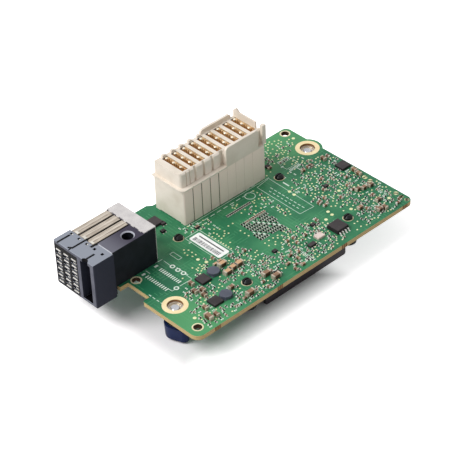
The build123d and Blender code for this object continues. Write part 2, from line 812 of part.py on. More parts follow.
def fabric_organiser():
    """The folded metal plate that ties the wafers together over their top back corner."""
    top_low = fabric_top - fabric_plate_thickness
    plate = block(fabric_plate_front, fabric_plate_back, fabric_plate_near, fabric_plate_far,
                  top_low, fabric_top)
    plate += block(fabric_plate_back - fabric_plate_thickness, fabric_plate_back, fabric_plate_near,
                   fabric_plate_far, fabric_plate_foot, fabric_top)
    step = (fabric_plate_far - fabric_plate_near) / fabric_plate_tab_count
    for number in range(fabric_plate_tab_count):
        middle = fabric_plate_near + (number + 1 / 2) * step
        plate += block(fabric_plate_front - fabric_plate_tab_reach, fabric_plate_front,
                       middle - fabric_plate_tab_width / 2, middle + fabric_plate_tab_width / 2,
                       top_low, fabric_top)
    return plate


def fabric_columns():
    """The middle of each column of contact cells, along Y."""
    return [fabric_wafer_start + (number + 1 / 2) * fabric_wafer_pitch
            for number in range(fabric_wafer_count)]


def fabric_rows():
    """The middle of each row of contact cells, upwards."""
    first = fabric_bottom + fabric_cell_bottom
    return [first + number * fabric_cell_pitch for number in range(fabric_cell_rows)]


def fabric_hood_shell():
    """The hood's outside: deeper over the guide module, with its front and back edges broken."""
    step_y = fabric_wafer_start - fabric_wafer_gap
    plan = make_face(Polyline(
        (fabric_front, fabric_near), (fabric_guide_back, fabric_near), (fabric_guide_back, step_y),
        (fabric_hood_back, step_y), (fabric_hood_back, fabric_far), (fabric_front, fabric_far),
        close=True))
    hood = extrude(Pos(0, 0, fabric_bottom) * plan, fabric_top - fabric_bottom)
    front_edges = hood.edges().filter_by(lambda e: abs(e.center().X - fabric_front) < fabric_seat_gap)
    hood = chamfer(front_edges, fabric_hood_chamfer)
    top_back = hood.faces().sort_by(Axis.Z)[-1].edges().filter_by(Axis.Y).sort_by(Axis.X)[-2:]
    return chamfer(top_back, fabric_hood_back_chamfer)


def fabric_guide_slot():
    """What the guide slot takes away: the slot, a round notch in its lid and a slit behind it."""
    near = fabric_near + fabric_slot_near
    middle = near + fabric_slot_width / 2
    lid_low = fabric_top - fabric_slot_lid
    notch = rod((fabric_front - fabric_slot_notch_set, middle), lid_low - overrun,
                fabric_top + overrun, fabric_slot_notch_radius)
    return [
        block(fabric_front - overrun, fabric_front + fabric_slot_depth, near,
              near + fabric_slot_width, fabric_bottom + fabric_slot_sill, lid_low),
        notch,
        block(fabric_front - overrun, fabric_front + fabric_slot_slit, middle - fabric_slit_width / 2,
              middle + fabric_slit_width / 2, lid_low - overrun, fabric_top + overrun),
    ]


def fabric_top_marks():
    """What is cut into the hood's top: keying windows, grooves, and a notch at its back corner."""
    low = fabric_top - fabric_groove_depth
    slit_low = fabric_top - fabric_slit_depth
    high = fabric_top + overrun
    half = fabric_window_side / 2
    seam = fabric_wafer_start
    groove = seam + fabric_wafer_pitch
    far_slit = fabric_columns()[-1]
    cuts = [
        block(fabric_front - overrun, fabric_hood_back + overrun, groove - fabric_groove_width / 2,
              groove + fabric_groove_width / 2, low, high),
        block(fabric_front - overrun, fabric_front + fabric_far_slit, far_slit - fabric_slit_width / 2,
              far_slit + fabric_slit_width / 2, slit_low, high),
        block(fabric_hood_back - fabric_seam_slit, fabric_hood_back + overrun,
              seam - fabric_slit_width / 2, seam + fabric_slit_width / 2, slit_low, high),
        block(fabric_guide_back - fabric_corner_notch, fabric_guide_back + overrun,
              seam - fabric_corner_notch, seam, fabric_top - fabric_slot_lid, high),
    ]
    for number in range(-fabric_guide_window_count, fabric_wafer_count):
        y = fabric_wafer_start + (number + 1 / 2) * fabric_wafer_pitch
        cuts.append(block(fabric_window_x - half, fabric_window_x + half, y - half, y + half,
                          fabric_top - fabric_window_depth, high))
    return cuts


def fabric_hood():
    """The front housing: guide slot, contact cells, keying windows and grooves."""
    hood = fabric_hood_shell()
    for y in fabric_columns():
        for z in fabric_rows():
            hood -= block(fabric_front - overrun, fabric_front + fabric_cell_depth,
                          y - fabric_cell_width / 2, y + fabric_cell_width / 2,
                          z - fabric_cell_height / 2, z + fabric_cell_height / 2)
    for cut in fabric_guide_slot() + fabric_top_marks():
        hood -= cut
    return hood


def fabric_contacts():
    """The receptacle blades in the cells: wide signal blades, with narrower ones between them."""
    back = fabric_front + fabric_cell_depth
    half_height = fabric_blade_height / 2
    blades = []
    for y in fabric_columns():
        for number, z in enumerate(fabric_rows()):
            width, length, middle = fabric_blade_width, fabric_blade_length, y
            if number % 2:
                width, length = fabric_short_blade_width, fabric_short_blade_length
                middle = y - fabric_short_blade_shift
            blades.append(block(back - length, back, middle - width / 2, middle + width / 2,
                                z - half_height, z + half_height))
    return blades


def label():
    """The paper label, stuck flat on the board."""
    plan = RectangleRounded(label_width, label_length, label_radius)
    x = board_left_zone + label_left_clear + label_width / 2
    y = board_front_zone + pin_spacing_y - label_back_clear - label_length / 2
    return extrude(Pos(x, y) * plan, label_thickness)


def flash_chip():
    """The eight-lead memory: a tapered body on two rows of gull-wing leads."""
    half = flash_side / 2
    waist = flash_height / 2
    plan = Pos(0, 0, waist) * Rectangle(flash_side, flash_side)
    lower = extrude(plan, flash_stand - waist, taper=flash_draft)
    upper = extrude(plan, flash_height - waist, taper=flash_draft)
    chip = lower + upper
    tip = half + flash_lead_reach
    knee = tip - flash_lead_foot
    thick = flash_lead_thickness
    lead = make_face(Polyline(
        (half - thick, waist), (knee, waist), (knee + thick, thick), (tip, thick), (tip, 0),
        (knee, 0), (knee - thick, waist - thick), (half - thick, waist - thick), close=True))
    lead = extrude(Plane.YZ * lead, flash_lead_width)
    first = -(flash_lead_count - 1) * flash_lead_pitch / 2
    for number in range(flash_lead_count):
        x = first + number * flash_lead_pitch
        foot = Pos(x - flash_lead_width / 2, 0, 0) * lead
        chip += foot
        chip += Rot(0, 0, 180) * foot
    return Pos(*on_board(flash_place)) * chip


def crystal_can():
    """The timing crystal: a ceramic base with a raised metal lid."""
    base = extrude(Rectangle(crystal_length, crystal_width), crystal_height)
    lid = RectangleRounded(crystal_length - crystal_lid_inset, crystal_width - crystal_lid_inset,
                           crystal_radius)
    base += extrude(Pos(0, 0, crystal_height) * lid, crystal_lid_height)
    return Pos(*on_board(crystal_place)) * base


def chamfered_block(length, width, height, edge):
    """A flat package with its upper edges broken."""
    body = extrude(Rectangle(length, width), height)
    return chamfer(body.faces().sort_by(Axis.Z)[-1].edges(), edge)


def inductor():
    """An eight-sided power inductor on a thin base."""
    flat = RegularPolygon(inductor_radius, 8)
    body = extrude(Pos(0, 0, inductor_foot) * flat, inductor_height - inductor_foot)
    side = 2 * inductor_radius * inductor_foot_share
    return body + extrude(Rectangle(side, side), inductor_foot)


def capacitor(size):
    """A ceramic capacitor: a body between two slightly larger tinned end caps."""
    length, width, height = size
    cap = length * capacitor_cap_share
    proud = capacitor_cap_proud
    body = block(-length / 2, length / 2, -width / 2 + proud, width / 2 - proud, 0, height - proud)
    body += block(-length / 2, cap - length / 2, -width / 2, width / 2, 0, height)
    return body + block(length / 2 - cap, length / 2, -width / 2, width / 2, 0, height)


def plain_capacitor(size):
    """A ceramic capacitor too small for its end caps to stand proud."""
    length, width, height = size
    return block(-length / 2, length / 2, -width / 2, width / 2, 0, height)


def placed(piece, places):
    """Copies of a piece at places on the board, each with its turn."""
    return [Pos(*on_board(place)) * Rot(0, 0, place[-1]) * piece for place in places]


def below(pieces):
    """The same pieces hung from the board's lower face."""
    return [Pos(0, 0, board_bottom) * mirror(piece, Plane.XY) for piece in pieces]


def all_parts():
    """Every node of the card, by name."""
    parts = {
        "circuit_board": circuit_board(),
        "screw_ferrules": [ferrule(place) for place in screw_places.values()],
        "network_chip": network_chip(),
        "thermal_pad": thermal_pad(),
        "heat_sink": heat_sink(),
        "push_pins": [push_pin(place) for place in pin_places],
        "push_pin_springs": [pin_spring(place) for place in pin_places],
        "stack_shroud": stack_shroud(),
        "stack_contacts": stack_contacts(),
        "fabric_hood": fabric_hood(),
        "fabric_guide_block": fabric_guide_block(),
        "fabric_organiser": fabric_organiser(),
        "fabric_contacts": fabric_contacts(),
        "label": label(),
        "flash_chip": flash_chip(),
        "crystal_can": crystal_can(),
        "regulator_chips": placed(
            chamfered_block(regulator_side, regulator_side, regulator_height, regulator_chamfer),
            regulator_places),
        "power_inductors": [Pos(*on_board(place)) * inductor() for place in inductor_places],
        "logic_chip": Pos(*on_board(logic_place)) * chamfered_block(
            logic_length, logic_width, logic_height, regulator_chamfer),
        "controller_chip": Pos(*on_board(controller_place)) * chamfered_block(
            controller_length, controller_width, controller_height, regulator_chamfer),
        "large_capacitors": placed(capacitor(large_capacitor), large_capacitor_places),
        "medium_capacitors": placed(capacitor(medium_capacitor), medium_capacitor_places),
        "small_capacitors": placed(plain_capacitor(small_capacitor), small_capacitor_places),
        "underside_capacitors": below(placed(
            plain_capacitor(medium_capacitor), underside_capacitor_places)),
        "underside_driver": below([Pos(*on_board(driver_place)) * chamfered_block(
            driver_length, driver_width, driver_height, regulator_chamfer)]),
    }
    for number in range(stack_count):
        parts[f"stack_wafer_{number + 1}"] = stack_wafer(number)
    for number in range(fabric_wafer_count):
        parts[f"fabric_wafer_{number + 1}"] = fabric_wafer(number)
        parts[f"fabric_shield_{number + 1}"] = fabric_shield(number)
    for side, place in screw_places.items():
        parts[f"{side}_captive_screw"] = captive_screw(place)
        parts[f"{side}_knob"] = knob(place, knob_turns[side])
        parts[f"{side}_retaining_ring"] = retaining_ring(place)
        parts[f"{side}_screw_spring"] = screw_spring(place)
    return parts


def main():
    """Write one STEP file per node, moved to the card's own origin."""
    os.makedirs("parts", exist_ok=True)
    to_origin = Pos(-(footprint_left + footprint_right) / 2, -footprint_back / 2, -sink_bottom)
    for name, shape in all_parts().items():
        solids = shape if isinstance(shape, list) else [shape]
        export_step(Compound(children=[to_origin * solid for solid in solids]), f"parts/{name}.step")


main()
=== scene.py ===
"""The looks of a mezzanine network card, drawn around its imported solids.

Lengths in the tables are millimetres from the front left corner of the board's top face: X along
the front edge, Y to the back edge, Z up. Some small parts are placed by the picture point, 450
points square, at which the camera sees them, cast down to the face that carries them.
"""

import json

import bpy
import numpy as np
from mathutils import Matrix, Vector


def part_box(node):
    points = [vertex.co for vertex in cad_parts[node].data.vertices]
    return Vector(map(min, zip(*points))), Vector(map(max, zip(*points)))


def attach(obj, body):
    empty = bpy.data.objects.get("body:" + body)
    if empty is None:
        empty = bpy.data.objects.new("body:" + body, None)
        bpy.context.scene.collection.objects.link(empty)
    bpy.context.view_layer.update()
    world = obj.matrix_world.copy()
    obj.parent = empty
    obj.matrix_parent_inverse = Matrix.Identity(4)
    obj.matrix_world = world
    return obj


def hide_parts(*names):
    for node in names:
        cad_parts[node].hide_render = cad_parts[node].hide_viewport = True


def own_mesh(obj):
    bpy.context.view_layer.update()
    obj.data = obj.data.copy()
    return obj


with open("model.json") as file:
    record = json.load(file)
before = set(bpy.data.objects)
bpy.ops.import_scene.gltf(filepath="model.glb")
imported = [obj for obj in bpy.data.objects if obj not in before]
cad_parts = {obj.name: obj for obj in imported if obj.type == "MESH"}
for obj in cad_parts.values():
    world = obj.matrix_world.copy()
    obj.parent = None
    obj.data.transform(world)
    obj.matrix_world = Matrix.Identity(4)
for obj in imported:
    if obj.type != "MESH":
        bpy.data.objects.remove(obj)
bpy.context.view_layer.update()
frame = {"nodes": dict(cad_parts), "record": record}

MM = 0.001
BOARD_CORNER = np.array([-45.6, -31.5, 12.3])
BOARD_LENGTH = 100.0
BOARD_WIDTH = 61.6
SCREW_PLACES = [(6.05, 17.2), (96.3, 47.1)]
TOOLING_PLACES = [(3.8, 4.05), (5.6, 35.5), (96.95, 59.0)]
PIN_PLACES = [(29.9, 8.85), (77.1, 8.85), (29.9, 41.75), (77.1, 41.75)]
FLUSH = 0.0
PAD_TOP = 0.035
INK_TOP = 0.02

# How far from each hole's centre its wall is toned, the tooling holes' walls near black with
# painted shade and the screw holes' darker brown; the hidden tracks' spacing; and the places where
# the front edge was snapped from its panel
TOOLING_SHADE_REACH = 1.7
SCREW_WALL = 2.9
TRACK_TURN = 5.0
EDGE_BREAKS = [8.7, 36.3, 66.2, 95.7]
EDGE_BREAK_REACH = 1.3

# The stacking connector's slots, and the gaps between its slices, as the solids have them
STACK_SLOTS = 9
STACK_SLOT_START = 38.9
STACK_PITCH = 3.93
STACK_SLOT_WIDTH = 2.5
STACK_SLOT_FRONT = 47.6
STACK_SLOT_BACK = 58.5
STACK_TOP = 19.7
STACK_SEAM_START = 40.36
STACK_SEAMS_LENGTH = 13.0
STACK_FRONT = 45.4
SLICE_TOP = 13.8

# The fabric connector's shield strips, and the cells and guide slot in its hood
STRIP_COUNT = 3
STRIP_START = 45.25
STRIP_PITCH = 3.83
HOOD_FACE = -10.3
CELLS_BACK = -8.0
CELLS_SIDE = 44.7
CELLS_TOP = 13.55
GUIDE_SLOT = (38.35, 43.15)
GUIDE_SLOT_TOP = 14.5

# The eight-lead memory, and the group of paler capacitors beside the label
MEMORY_CENTRE = (70.49, 7.25)
MEMORY_HALF = 2.62
LEAD_REACH = 2.0
PALE_GROUP_X = (22.0, 42.0)
PALE_GROUP_Y = (12.0, 23.0)

# The camera, solved from the board's outline: place in the frame's millimetres, and its axes
PICTURE_SIDE = 450
FOCAL_POINTS = 1940.958
SENSOR = 36.0
CAMERA_PLACE = np.array([-342.1768, -379.9986, 413.1979])
CAMERA_RIGHT = np.array([0.726767, -0.685876, -0.037189])
CAMERA_DOWN = np.array([-0.443363, -0.427065, -0.788064])
CAMERA_AHEAD = np.array([0.524632, 0.589227, -0.614469])


def cast(points, height=0.0):
    """Board X and Y where the camera's rays through picture points meet the plane at a height."""
    shift = (np.atleast_2d(np.asarray(points, float)) - PICTURE_SIDE / 2) / FOCAL_POINTS
    rays = CAMERA_AHEAD + shift[:, :1] * CAMERA_RIGHT + shift[:, 1:] * CAMERA_DOWN
    start = CAMERA_PLACE - BOARD_CORNER
    return (start + rays * ((height - start[2]) / rays[:, 2])[:, None])[:, :2]


# Shader maths


class Wire:
    """A shader socket that Python's arithmetic signs work on; each sign adds one Math node."""

    def __init__(self, tree, socket):
        self.tree = tree
        self.socket = socket

    def maths(self, operation, *values):
        """One Math node on the values."""
        return self.tree.node("Math", {"operation": operation}, dict(enumerate(values)))

    def __add__(self, other):
        return self.maths("ADD", self, other)

    __radd__ = __add__

    def __sub__(self, other):
        return self.maths("SUBTRACT", self, other)

    def __rsub__(self, other):
        return self.maths("SUBTRACT", other, self)

    def __mul__(self, other):
        return self.maths("MULTIPLY", self, other)

    __rmul__ = __mul__

    def __truediv__(self, other):
        return self.maths("DIVIDE", self, other)

    def __abs__(self):
        return self.maths("ABSOLUTE", self)

    def over(self, limit):
        """1 where the value is above a limit, otherwise 0."""
        return self.maths("GREATER_THAN", self, limit)

    def under(self, limit):
        """1 where the value is below a limit, otherwise 0."""
        return self.maths("LESS_THAN", self, limit)

    def wave(self):
        """The sine of the value."""
        return self.maths("SINE", self)

    def part(self):
        """What is left of the value above the whole number below it."""
        return self.maths("FRACT", self)

    def most(self, other):
        """The greater of two values."""
        return self.maths("MAXIMUM", self, other)

    def ramp(self, low, high):
        """0 below low, 1 above high and a smooth rise between; low may lie above high."""
        return self.tree.node("MapRange", {"interpolation_type": "SMOOTHSTEP"},
                              {"Value": self, "From Min": low, "From Max": high}, "Result")


class Tree:
    """The node tree of a material or world; every new node in it comes from one method."""

    def __init__(self, owner):
        owner.use_nodes = True
        self.nodes = owner.node_tree.nodes
        self.links = owner.node_tree.links

    def node(self, kind, settings=None, inputs=None, output=0):
        """A new node of any type, as the wire of one of its outputs: its settings are made first,
        then its sockets get values or links."""
        made = self.nodes.new("ShaderNode" + kind)
        for name, value in (settings or {}).items():
            setattr(made, name, value)
        for name, value in (inputs or {}).items():
            self.plug(made.inputs[name], value)
        return Wire(self, made.outputs[output])

    def plug(self, socket, value):
        """Gives a socket a link, a number or a colour."""
        if isinstance(value, Wire):
            self.links.new(value.socket, socket)
        elif isinstance(value, (tuple, list)) and len(socket.default_value) == 4:
            socket.default_value = (*value[:3], 1.0)
        else:
            socket.default_value = value

    def split(self, vector):
        """Three wires: a vector's X, Y and Z."""
        parts = self.node("SeparateXYZ", inputs={0: vector}).socket.node
        return [Wire(self, output) for output in parts.outputs]

    def white_rays(self):
        """1 for rays from the camera and for those seen by gloss or through glass, otherwise 0."""
        camera_ray, glossy, through = [self.node("LightPath", output=name) for name in (
            "Is Camera Ray", "Is Glossy Ray", "Is Transmission Ray")]
        return camera_ray.most(glossy).most(through)


class Finish(Tree):
    """One material under construction, with its shader and the object's own coordinates."""

    def __init__(self, name, **constants):
        self.material = bpy.data.materials.new(name)
        super().__init__(self.material)
        self.shader = self.nodes["Principled BSDF"]
        for socket, value in constants.items():
            self.give(socket.replace("_", " "), value)

    def place(self):
        """The object's own coordinates, in metres."""
        return self.node("TexCoord", output="Object")

    def board_axes(self):
        """Three wires: the place in board millimetres, as X, Y and Z."""
        return [axis / MM - float(corner)
                for axis, corner in zip(self.split(self.place()), BOARD_CORNER)]

    def facing(self):
        """Three wires: the face's own direction."""
        return self.split(self.node("NewGeometry", output="Normal"))

    def noise(self, grain, detail=3.0, stretch=(1, 1, 1)):
        """Even noise from 0 to 1 with features about one grain, in millimetres, across."""
        spread = self.node("Mapping", inputs={"Vector": self.place(), "Scale": stretch})
        return self.node("TexNoise", inputs={"Vector": spread, "Scale": 1 / (grain * MM),
                                             "Detail": detail}, output="Fac")

    def mix(self, share, first, second):
        """A colour between two colours, the second where the share is 1."""
        return self.node("Mix", {"data_type": "RGBA"}, {0: share, 6: first, 7: second}, 2)

    def drift(self, wire, first, second, low=0.35, high=0.7):
        """A colour that drifts from a first to a second seen colour as a wire's value rises."""
        return self.mix(wire.ramp(low, high), srgb(*first), srgb(*second))

    def give(self, socket, value):
        """Feeds one of the shader's sockets."""
        self.plug(self.shader.inputs[socket], value)

    def bump(self, height, depth):
        """Raises the surface by a height from 0 to 1, times a depth in millimetres."""
        self.give("Normal", self.node("Bump", inputs={"Height": height, "Distance": depth * MM}))

    def done(self, colour, grain, rough, uneven, depth):
        """The finished material: its colour, a roughness that a grain makes uneven, and a bump
        from the same grain."""
        self.give("Base Color", colour)
        self.give("Roughness", grain * uneven + rough)
        self.bump(grain, depth)
        return self.material


def srgb(red, green, blue):
    """A colour as it is seen, 0 to 255, turned into the linear values that shaders take."""
    seen = np.array([red, green, blue]) / 255
    linear = np.where(seen <= 0.04045, seen / 12.92, ((seen + 0.055) / 1.055) ** 2.4)
    return tuple(float(v) for v in linear)


def moulded(name, colour, darker, rough=0.45, grain=0.5, depth=0.01, shine=0.5):
    """Moulded plastic: a slow drift between two tones, a fine skin texture and uneven gloss."""
    skin = Finish(name, Specular_IOR_Level=shine)
    tone = skin.drift(skin.noise(6.0), colour, darker)
    return skin.done(tone, skin.noise(grain), rough - 0.07, 0.15, depth)


def plated(name, colour, darker, rough=0.3, stretch=(1, 1, 1), metal=1.0):
    """Plated or bare metal: brushed or grainy along one way, with a tone that drifts."""
    skin = Finish(name, Metallic=metal)
    brushed = skin.noise(0.3, 4.0, stretch)
    tone = skin.drift(skin.noise(3.0) * 0.5 + brushed * 0.5, colour, darker, 0.3)
    return skin.done(tone, brushed, rough - 0.1, 0.2, 0.006)


def between(value, low, high, edge=0.04):
    """1 where a wire's value lies between two limits, with soft edges."""
    return value.ramp(low - edge, low + edge) * value.ramp(high + edge, high - edge)


def repeat(value, start, pitch):
    """How far a wire's value lies past the last of many starts, a pitch apart."""
    return ((value - start) / pitch).part() * pitch


def near_any(x, y, places, reach):
    """1 within a reach of any of the places, on the board's own axes."""
    found = 0.0
    for a, b in places:
        found = ((x - a) * (x - a) + (y - b) * (y - b)).under(reach * reach).most(found)
    return found


def board_finish():
    """Green mask over copper on both faces, and woven tan laminate on the edges and hole walls.
    Painted shade makes the tooling holes' walls near black.

    The mask is darker over the bare corner by the fabric connector and to the right, and fine
    tracks show through it as slightly lighter lines where a slow noise lets them. The front edge
    is brown and ribbed in short breaks, where the board was snapped from its panel."""
    skin = Finish("solder_mask", Specular_IOR_Level=0.15)
    x, y, z = skin.board_axes()
    up = abs(skin.facing()[2]).over(0.5)
    weave = skin.noise(0.5, 2.0)
    tracks = ((x * TRACK_TURN).wave().over(0.72) * skin.noise(5.0).ramp(0.5, 0.56)).most(
        (y * TRACK_TURN).wave().over(0.72) * skin.noise(6.0, 1.0, (1, 1.3, 1)).ramp(0.55, 0.6))
    dark = (x.ramp(24.0, 12.0) * y.ramp(20.0, 28.0)).most(x.ramp(70.0, 92.0) * 0.6)
    light = (x.ramp(22.0, 12.0) * y.ramp(20.0, 12.0)).most(x.ramp(60.0, 76.0) * y.ramp(40.0, 50.0))
    green = skin.drift(skin.noise(9.0), (42, 114, 78), (62, 134, 92), high=0.65)
    green = skin.mix(dark * 0.7, green, srgb(26, 92, 66))
    green = skin.mix(light * 0.65, green, srgb(92, 164, 108))
    green = skin.mix(tracks * 0.35, green, srgb(90, 166, 116))
    layers = (z * 9.0).wave() * 0.5 + 0.5
    tan = skin.mix(layers * 0.5 + skin.noise(0.8) * 0.5, srgb(196, 170, 122), srgb(158, 142, 98))
    broken = 0.0
    for middle in EDGE_BREAKS:
        broken = abs(x - middle).under(EDGE_BREAK_REACH).most(broken)
    ribs = (x * 7.0).wave().ramp(-0.2, 0.4) * 0.5
    brown = skin.mix(ribs, srgb(108, 78, 48), srgb(178, 146, 98))
    tan = skin.mix(broken * y.under(0.1), tan, brown)
    # painted shade: the tooling holes' walls near black
    tan = skin.mix(near_any(x, y, TOOLING_PLACES, TOOLING_SHADE_REACH), tan, srgb(58, 36, 18))
    tan = skin.mix(near_any(x, y, SCREW_PLACES, SCREW_WALL), tan, srgb(140, 100, 62))
    skin.give("Base Color", skin.mix(up, tan, green))
    skin.give("Roughness", up * -0.3 + 0.62 + weave * 0.1)
    skin.give("Coat Weight", up * 0.12)
    skin.bump(weave + tracks * 0.8, 0.006)
    return skin.material


def stack_finish():
    """Cream plastic with a fine skin. Painted light makes the slices' front faces paler, which also
    offsets the green light that the board bounces onto them; the cream is darker in patches near
    the board, and painted shade makes it brown and dim down inside the contact slots. Brown lines
    mark the open gaps between the first slices."""
    skin = Finish("stack_cream")
    x, y, z = skin.board_axes()
    cream = skin.drift(skin.noise(6.0), (234, 224, 211), (223, 212, 197))
    # painted light: the slices' front faces paler and pinker, against the board's green bounce
    lit_low_front = skin.facing()[1].ramp(-0.3, -0.8) * z.ramp(SLICE_TOP + 0.4, SLICE_TOP - 0.2)
    cream = skin.mix(lit_low_front, cream, srgb(255, 236, 224))
    step = repeat(x, STACK_SLOT_START - 0.03, STACK_PITCH)
    inside = (step.under(STACK_SLOT_WIDTH + 0.06) * x.over(STACK_SLOT_START - 0.05)
              * x.under(STACK_SLOT_START + STACK_SLOTS * STACK_PITCH - 1.3)
              * y.over(STACK_SLOT_FRONT - 0.05) * y.under(STACK_SLOT_BACK + 0.05)
              * z.under(STACK_TOP - 0.06))
    deep = z.ramp(STACK_TOP, STACK_TOP - 1.6)
    # darker in patches near the board
    base_darkening = z.ramp(2.6, 0.2) * skin.noise(2.0).ramp(0.35, 0.7) * 0.25
    seam = ((x - STACK_SEAM_START) / STACK_PITCH + 0.5).part() - 0.5
    seam = (abs(seam).under(0.045) * x.over(STACK_SEAM_START - 1)
            * x.under(STACK_SEAM_START + STACK_SEAMS_LENGTH) * y.under(STACK_FRONT)
            * z.under(SLICE_TOP))
    cream = skin.mix(seam * 0.8, cream, srgb(96, 66, 46))
    cream = skin.mix(base_darkening, cream, srgb(176, 166, 146))
    # painted shade down inside the contact slots, darkest deepest
    cream = skin.mix(inside * (deep * 0.4 + 0.6), cream, srgb(56, 30, 10))
    return skin.done(cream, skin.noise(0.3), 0.43, 0.15, 0.008)


def beam_finish():
    """Sprung contacts: tan gold, with a painted highlight that makes the tips pale and painted
    shade that makes them brown deeper in the slot.
    """
    skin = Finish("contact_gold", Metallic=0.55)
    z = skin.board_axes()[2]
    grain = skin.noise(0.25)
    gold = skin.drift(grain, (206, 152, 92), (164, 112, 60), high=0.65)
    # painted highlight at the tips
    gold = skin.mix(z.ramp(STACK_TOP - 0.7, STACK_TOP - 0.2), gold, srgb(246, 226, 190))
    # painted shade deeper in the slot
    gold = skin.mix(z.ramp(STACK_TOP - 0.9, STACK_TOP - 2.3), gold, srgb(70, 38, 14))
    return skin.done(gold, grain, 0.25, 0.2, 0.006)


def hood_finish():
    """Grey moulded hood, toned by the way its faces point as painted light and shade: a painted
    sheen makes its top pale and painted shade makes its side near black. Painted shade is blackest
    round the cells and in the guide slot."""
    skin = Finish("hood_grey", Specular_IOR_Level=0.06)
    x, y, z = skin.board_axes()
    facing = skin.facing()
    top = facing[2].ramp(0.3, 0.8)
    side = facing[1].ramp(-0.3, -0.8)
    grey = skin.drift(skin.noise(4.0), (96, 98, 108), (80, 82, 92))
    # painted sheen on the top faces
    grey = skin.mix(top, grey, srgb(144, 149, 160))
    # painted shade on the side faces
    grey = skin.mix(side, grey, srgb(50, 53, 64))
    # painted shade round the cells and in the guide slot
    cells = (x.under(CELLS_BACK) * y.over(CELLS_SIDE) * z.under(CELLS_TOP)
             * (1 - top * x.under(HOOD_FACE)))
    slot = (y.over(GUIDE_SLOT[0]) * y.under(GUIDE_SLOT[1]) * (1 - z.over(GUIDE_SLOT_TOP) * top)
            * x.over(HOOD_FACE))
    grey = skin.mix(cells.most(slot), grey, srgb(9, 9, 12))
    return skin.done(grey, skin.noise(0.3), 0.4, 0.15, 0.008)


def guide_finish():
    """Near black moulded block, with a painted sheen that makes its top paler and slightly violet,
    strongest towards the front, and painted glints on its chamfers.
    """
    skin = Finish("guide_black", Specular_IOR_Level=0.1)
    x = skin.board_axes()[0]
    upward = skin.facing()[2]
    black = skin.drift(skin.noise(5.0), (33, 35, 42), (24, 26, 31))
    # painted sheen on the top, stronger towards the front
    top = skin.mix(x.ramp(9.0, -2.0), srgb(64, 60, 74), srgb(108, 108, 119))
    black = skin.mix(upward.ramp(0.8, 0.95), black, top)
    # painted glints on the chamfers
    chamfer_glint = between(upward, 0.5, 0.85, 0.03)
    black = skin.mix(chamfer_glint, black, srgb(170, 172, 182))
    return skin.done(black, skin.noise(0.3), 0.38, 0.15, 0.008)


def shield_finish():
    """Tinned shield strips: brushed lengthways, with a paler band down each strip's middle, a dark
    line along one edge of each, and darker low down.
    """
    skin = Finish("shield_tin", Metallic=0.55)
    _, y, z = skin.board_axes()
    brushed = skin.noise(0.35, 4.0, (0.06, 1, 1))
    tone = skin.drift(brushed, (208, 198, 184), (164, 152, 138), high=0.65)
    step = repeat(y, STRIP_START, STRIP_PITCH)
    tone = skin.mix(between(step, 1.3, 2.0, 0.1) * 0.3, tone, srgb(236, 228, 216))
    tone = skin.mix(step.ramp(0.25, 0.05) * 0.7, tone, srgb(96, 82, 66))
    tone = skin.mix(z.ramp(13.9, 13.4), tone, srgb(60, 52, 46))
    return skin.done(tone, brushed, 0.3, 0.2, 0.01)


def ceramic_finish():
    """Fired ceramic with a fine speckle: painted light makes it brown on top and painted shade dark
    brown on its sides, and its top is light tan in the group beside the label."""
    skin = Finish("capacitor_brown", Specular_IOR_Level=0.4)
    slow = skin.noise(7.0)
    x, y, _ = skin.board_axes()
    side = skin.drift(slow, (104, 72, 50), (80, 54, 38), 0.4, 0.6)
    top = skin.drift(slow, (158, 124, 98), (122, 94, 74), 0.4, 0.6)
    pale = between(x, *PALE_GROUP_X) * between(y, *PALE_GROUP_Y)
    top = skin.mix(pale, top, srgb(206, 166, 128))
    # painted light on the tops and painted shade on the sides
    brown = skin.mix(abs(skin.facing()[2]).ramp(0.4, 0.8), side, top)
    return skin.done(brown, skin.noise(0.25), 0.35, 0.2, 0.01)


def chip_finish():
    """Black moulded chip bodies with a painted sheen that makes them a little paler on top, and
    bright tin on the memory's leads.
    """
    skin = Finish("chip_black", Specular_IOR_Level=0.15)
    x, y, z = skin.board_axes()
    slow = skin.noise(5.0)
    black = skin.drift(slow, (46, 43, 45), (34, 31, 34))
    top = skin.drift(slow, (72, 67, 68), (56, 52, 54))
    # painted sheen on the top faces
    black = skin.mix(skin.facing()[2].ramp(0.5, 0.9), black, top)
    off = abs(y - MEMORY_CENTRE[1])
    leads = (off.over(MEMORY_HALF) * off.under(MEMORY_HALF + LEAD_REACH)
             * abs(x - MEMORY_CENTRE[0]).under(MEMORY_HALF) * z.over(-0.1))
    skin.give("Metallic", leads * 0.4)
    black = skin.mix(leads, black, srgb(236, 234, 228))
    return skin.done(black, skin.noise(0.25), 0.43, 0.15, 0.01)


def label_finish():
    """White paper with a faint fibre and a slow drift to grey."""
    skin = Finish("label_white")
    white = skin.drift(skin.noise(3.0), (250, 250, 248), (238, 239, 238), 0.3)
    return skin.done(white, skin.noise(0.25), 0.65, 0.1, 0.004)


